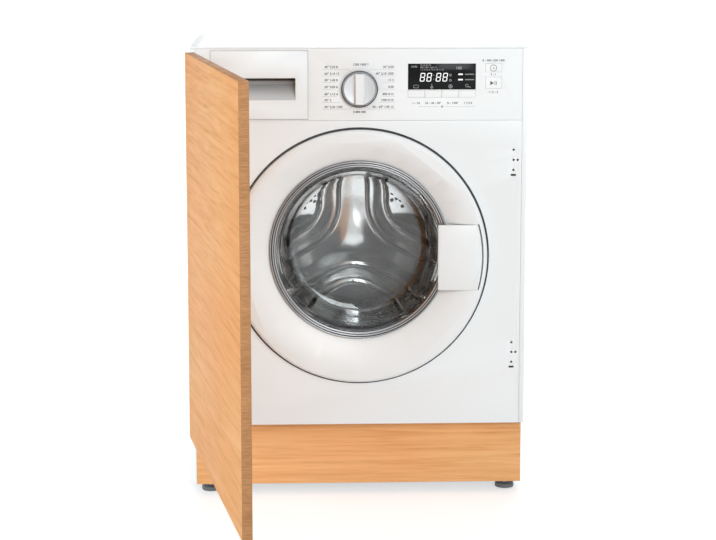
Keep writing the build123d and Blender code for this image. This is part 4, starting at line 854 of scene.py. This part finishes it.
# Trim ring: spun bright metal with a double bead.
# It is pressed over the glass's edge and hides the joint with the white ring.
silver_trim = uneven("silver_trim", (0.33, 0.33, 0.335), 0.24, 0.003, 0.04, 0.1, 0.05, Metallic=1.0)
bead = [(0.1610, 0.0048), (0.1610, 0.0008), (0.1606, -0.0008), (0.1598, -0.0018),
        (0.1588, -0.0020), (0.1580, -0.0014), (0.1576, 0.0002), (0.1572, 0.0012),
        (0.1567, 0.0002), (0.1561, -0.0006), (0.1551, -0.0009), (0.1541, -0.0005),
        (0.1535, 0.0006), (0.1531, 0.0016), (0.1526, 0.0008), (0.1518, 0.0004),
        (0.1506, 0.0008), (0.1494, 0.0020), (0.1486, 0.0036), (0.1484, 0.0048)]
settle(turned("trim_ring", 0, GLASS_Z, bead, steps=160), silver_trim, "porthole_door",
       "silver_trim", "glass_trim_ring", angle=60)

# Handle: a moulded flap that the hand pulls, which turns on trunnions in the ring and
# draws the latch hook out of the lock.
softened("door_handle", 0.0006, ring_white, "white_ring")
softened("latch_hook", 0.0004, plated, "steel")

# Hinges: pressed and nickel-plated steel. The porthole's pin turns in a bracket on the white
# front, and the decor door hangs on two cup hinges let into the oak.
nickel = uneven("hinge_nickel", (0.66, 0.65, 0.63), 0.28, 0.002, 0.05, 0.1, 0.1, Metallic=1.0)
for node in ("porthole_hinge_bracket", "door_hinge_arm", "decor_hinge_cups", "decor_hinge_arms"):
    softened(node, 0.0004, nickel, "hinge_nickel")

# Screws: zinc-plated, with a hexagon head on a washer face and a dimple in its middle. They
# hold the back, its service cover and the hinges.
washer_rings = [(0.0046, 0.0), (0.0046, -0.0006), (0.0043, -0.0009), (0.0030, -0.0010)]
hexagon_rings = [(0.0031, -0.0009), (0.0031, -0.0025), (0.0028, -0.0029), (0.0018, -0.0029),
                 (0.0014, -0.0022)]
head = joined("screw_head", [turned("washer", 0, 0, washer_rings, 20, "capped"),
                             turned("hexagon", 0, 0, hexagon_rings, 6, "capped")])


def screwed(name, body, places, facing=0.0, swing=0.0, hinge=(0, 0)):
    """Copies of the head at places, turned to face one way and swung about a hinge's line."""
    heads = []
    for x, y, z in places:
        one = bpy.data.objects.new(name, head.data.copy())
        bpy.context.scene.collection.objects.link(one)
        one.data.transform(
            Matrix.Translation((*hinge, 0)) @ Matrix.Rotation(swing, 4, "Z")
            @ Matrix.Translation((x - hinge[0], y - hinge[1], z))
            @ Matrix.Rotation(facing, 4, "Z") @ Matrix.Translation((0, -FRONT, 0)))
        heads.append(one)
    settle(joined(name, heads), plated, body, "steel")


BACK_Y, COVER_Y, COVER_Z = FRONT + 0.5212, FRONT + 0.5224, 0.420
ARM_ZS = (0.2683, 0.6177)
back_places = [(x, BACK_Y, z) for x in (-0.2860, 0.2860)
               for z in (0.060, 0.200, 0.340, 0.480, 0.620, 0.760)]
back_places += [(x, BACK_Y, z) for x in (-0.15, 0.0, 0.15) for z in (0.038, 0.803)]
screwed("back_screws", "casing", back_places, facing=pi)
screwed("cover_screws", "casing", [(x, COVER_Y, COVER_Z + up) for x in (-0.160, 0.0, 0.160)
                                   for up in (-0.170, 0.170)], facing=pi)
screwed("arm_screws", "casing", [(-0.274, FRONT - 0.003, z + rise) for z in ARM_ZS
                                 for rise in (-0.0155, 0.0155)])
screwed("bracket_screws", "casing", [(-0.2500, FRONT - 0.0025, z) for z in (0.433, 0.457)])
screwed("cup_screws", "decor_door", [(-0.273, FRONT - 0.0208, z + rise) for z in ARM_ZS
                                     for rise in (-0.0215, 0.0215)],
        facing=pi, swing=-DOOR_TURN, hinge=DOOR_HINGE)
bpy.data.objects.remove(head)

# Studio: a plain pale floor that keeps the machine's shadow, and soft square lamps around
# and above it. Floor and room look white to the camera, and in metal and glass.
floor = started("studio_floor", bpy.ops.mesh.primitive_plane_add, size=60,
                location=(0, 0, -0.0002))
bpy.ops.object.mode_set(mode="OBJECT")


def looked_at(tree):
    """Gives 1 for what the camera sees, straight or in metal and glass, and otherwise 0."""
    eye = add(tree, "LightPath").outputs
    seen = figure(tree, "MAXIMUM", eye["Is Camera Ray"], eye["Is Glossy Ray"])
    return figure(tree, "MAXIMUM", seen, eye["Is Transmission Ray"])


pale, tree, shader = surface("pale_floor", (0.74, 0.75, 0.76), 0.6,
                             Emission_Color=(1, 1, 1, 1))
place = add(tree, "TexCoord").outputs["Object"]
away = add(tree, "VectorMath", {0: place}, operation="LENGTH").outputs["Value"]
glow = figure(tree, "MULTIPLY", looked_at(tree), spread(tree, away, 0.45, 2.0, 0.48, 0.8))
tree.links.new(glow, shader.inputs["Emission Strength"])
floor.data.materials.append(pale)

world = bpy.data.worlds.new("studio")
bpy.context.scene.world = world
world.use_nodes = True
tree = world.node_tree
tree.nodes.clear()
level = spread(tree, looked_at(tree), 0.0, 1.0, 0.42, 1.0)
sky = add(tree, "Background", {"Color": (1, 1, 1, 1), "Strength": level})
add(tree, "OutputWorld", {"Surface": sky.outputs[0]})

MIDDLE = (0, 0, 0.42)
for name, place, aim, size, power in (
        ("key", (1.1, -4.2, 2.2), MIDDLE, 1.8, 76),
        ("low", (2.6, -3.2, 0.8), MIDDLE, 1.8, 17),
        ("side", (-3.6, -1.6, 1.1), (-0.3, -0.3, 0.42), 2.2, 62),
        ("above", (0, -1.6, 3.4), MIDDLE, 2.2, 12),
        ("back", (0.6, 3.4, 2.0), (0, 0.3, 0.4), 2.4, 36)):
    lamp = bpy.data.lights.new(name, "AREA")
    lamp.shape, lamp.size, lamp.energy = "SQUARE", size, power
    lamp.color = (0.92, 0.985, 1.0)
    stand = bpy.data.objects.new(name, lamp)
    bpy.context.scene.collection.objects.link(stand)
    stand.location = place
    stand.rotation_euler = (Vector(aim) - Vector(place)).to_track_quat("-Z", "Y").to_euler()

bpy.ops.object.camera_add(location=(-0.120, -3.344 + FRONT, 1.047),
                          rotation=(radians(81.55), 0, radians(-2.01)))
camera = bpy.context.object
camera.data.lens, camera.data.shift_y = 95.7, -0.10
bpy.context.scene.camera = camera
bpy.context.scene.view_settings.view_transform = "Standard"
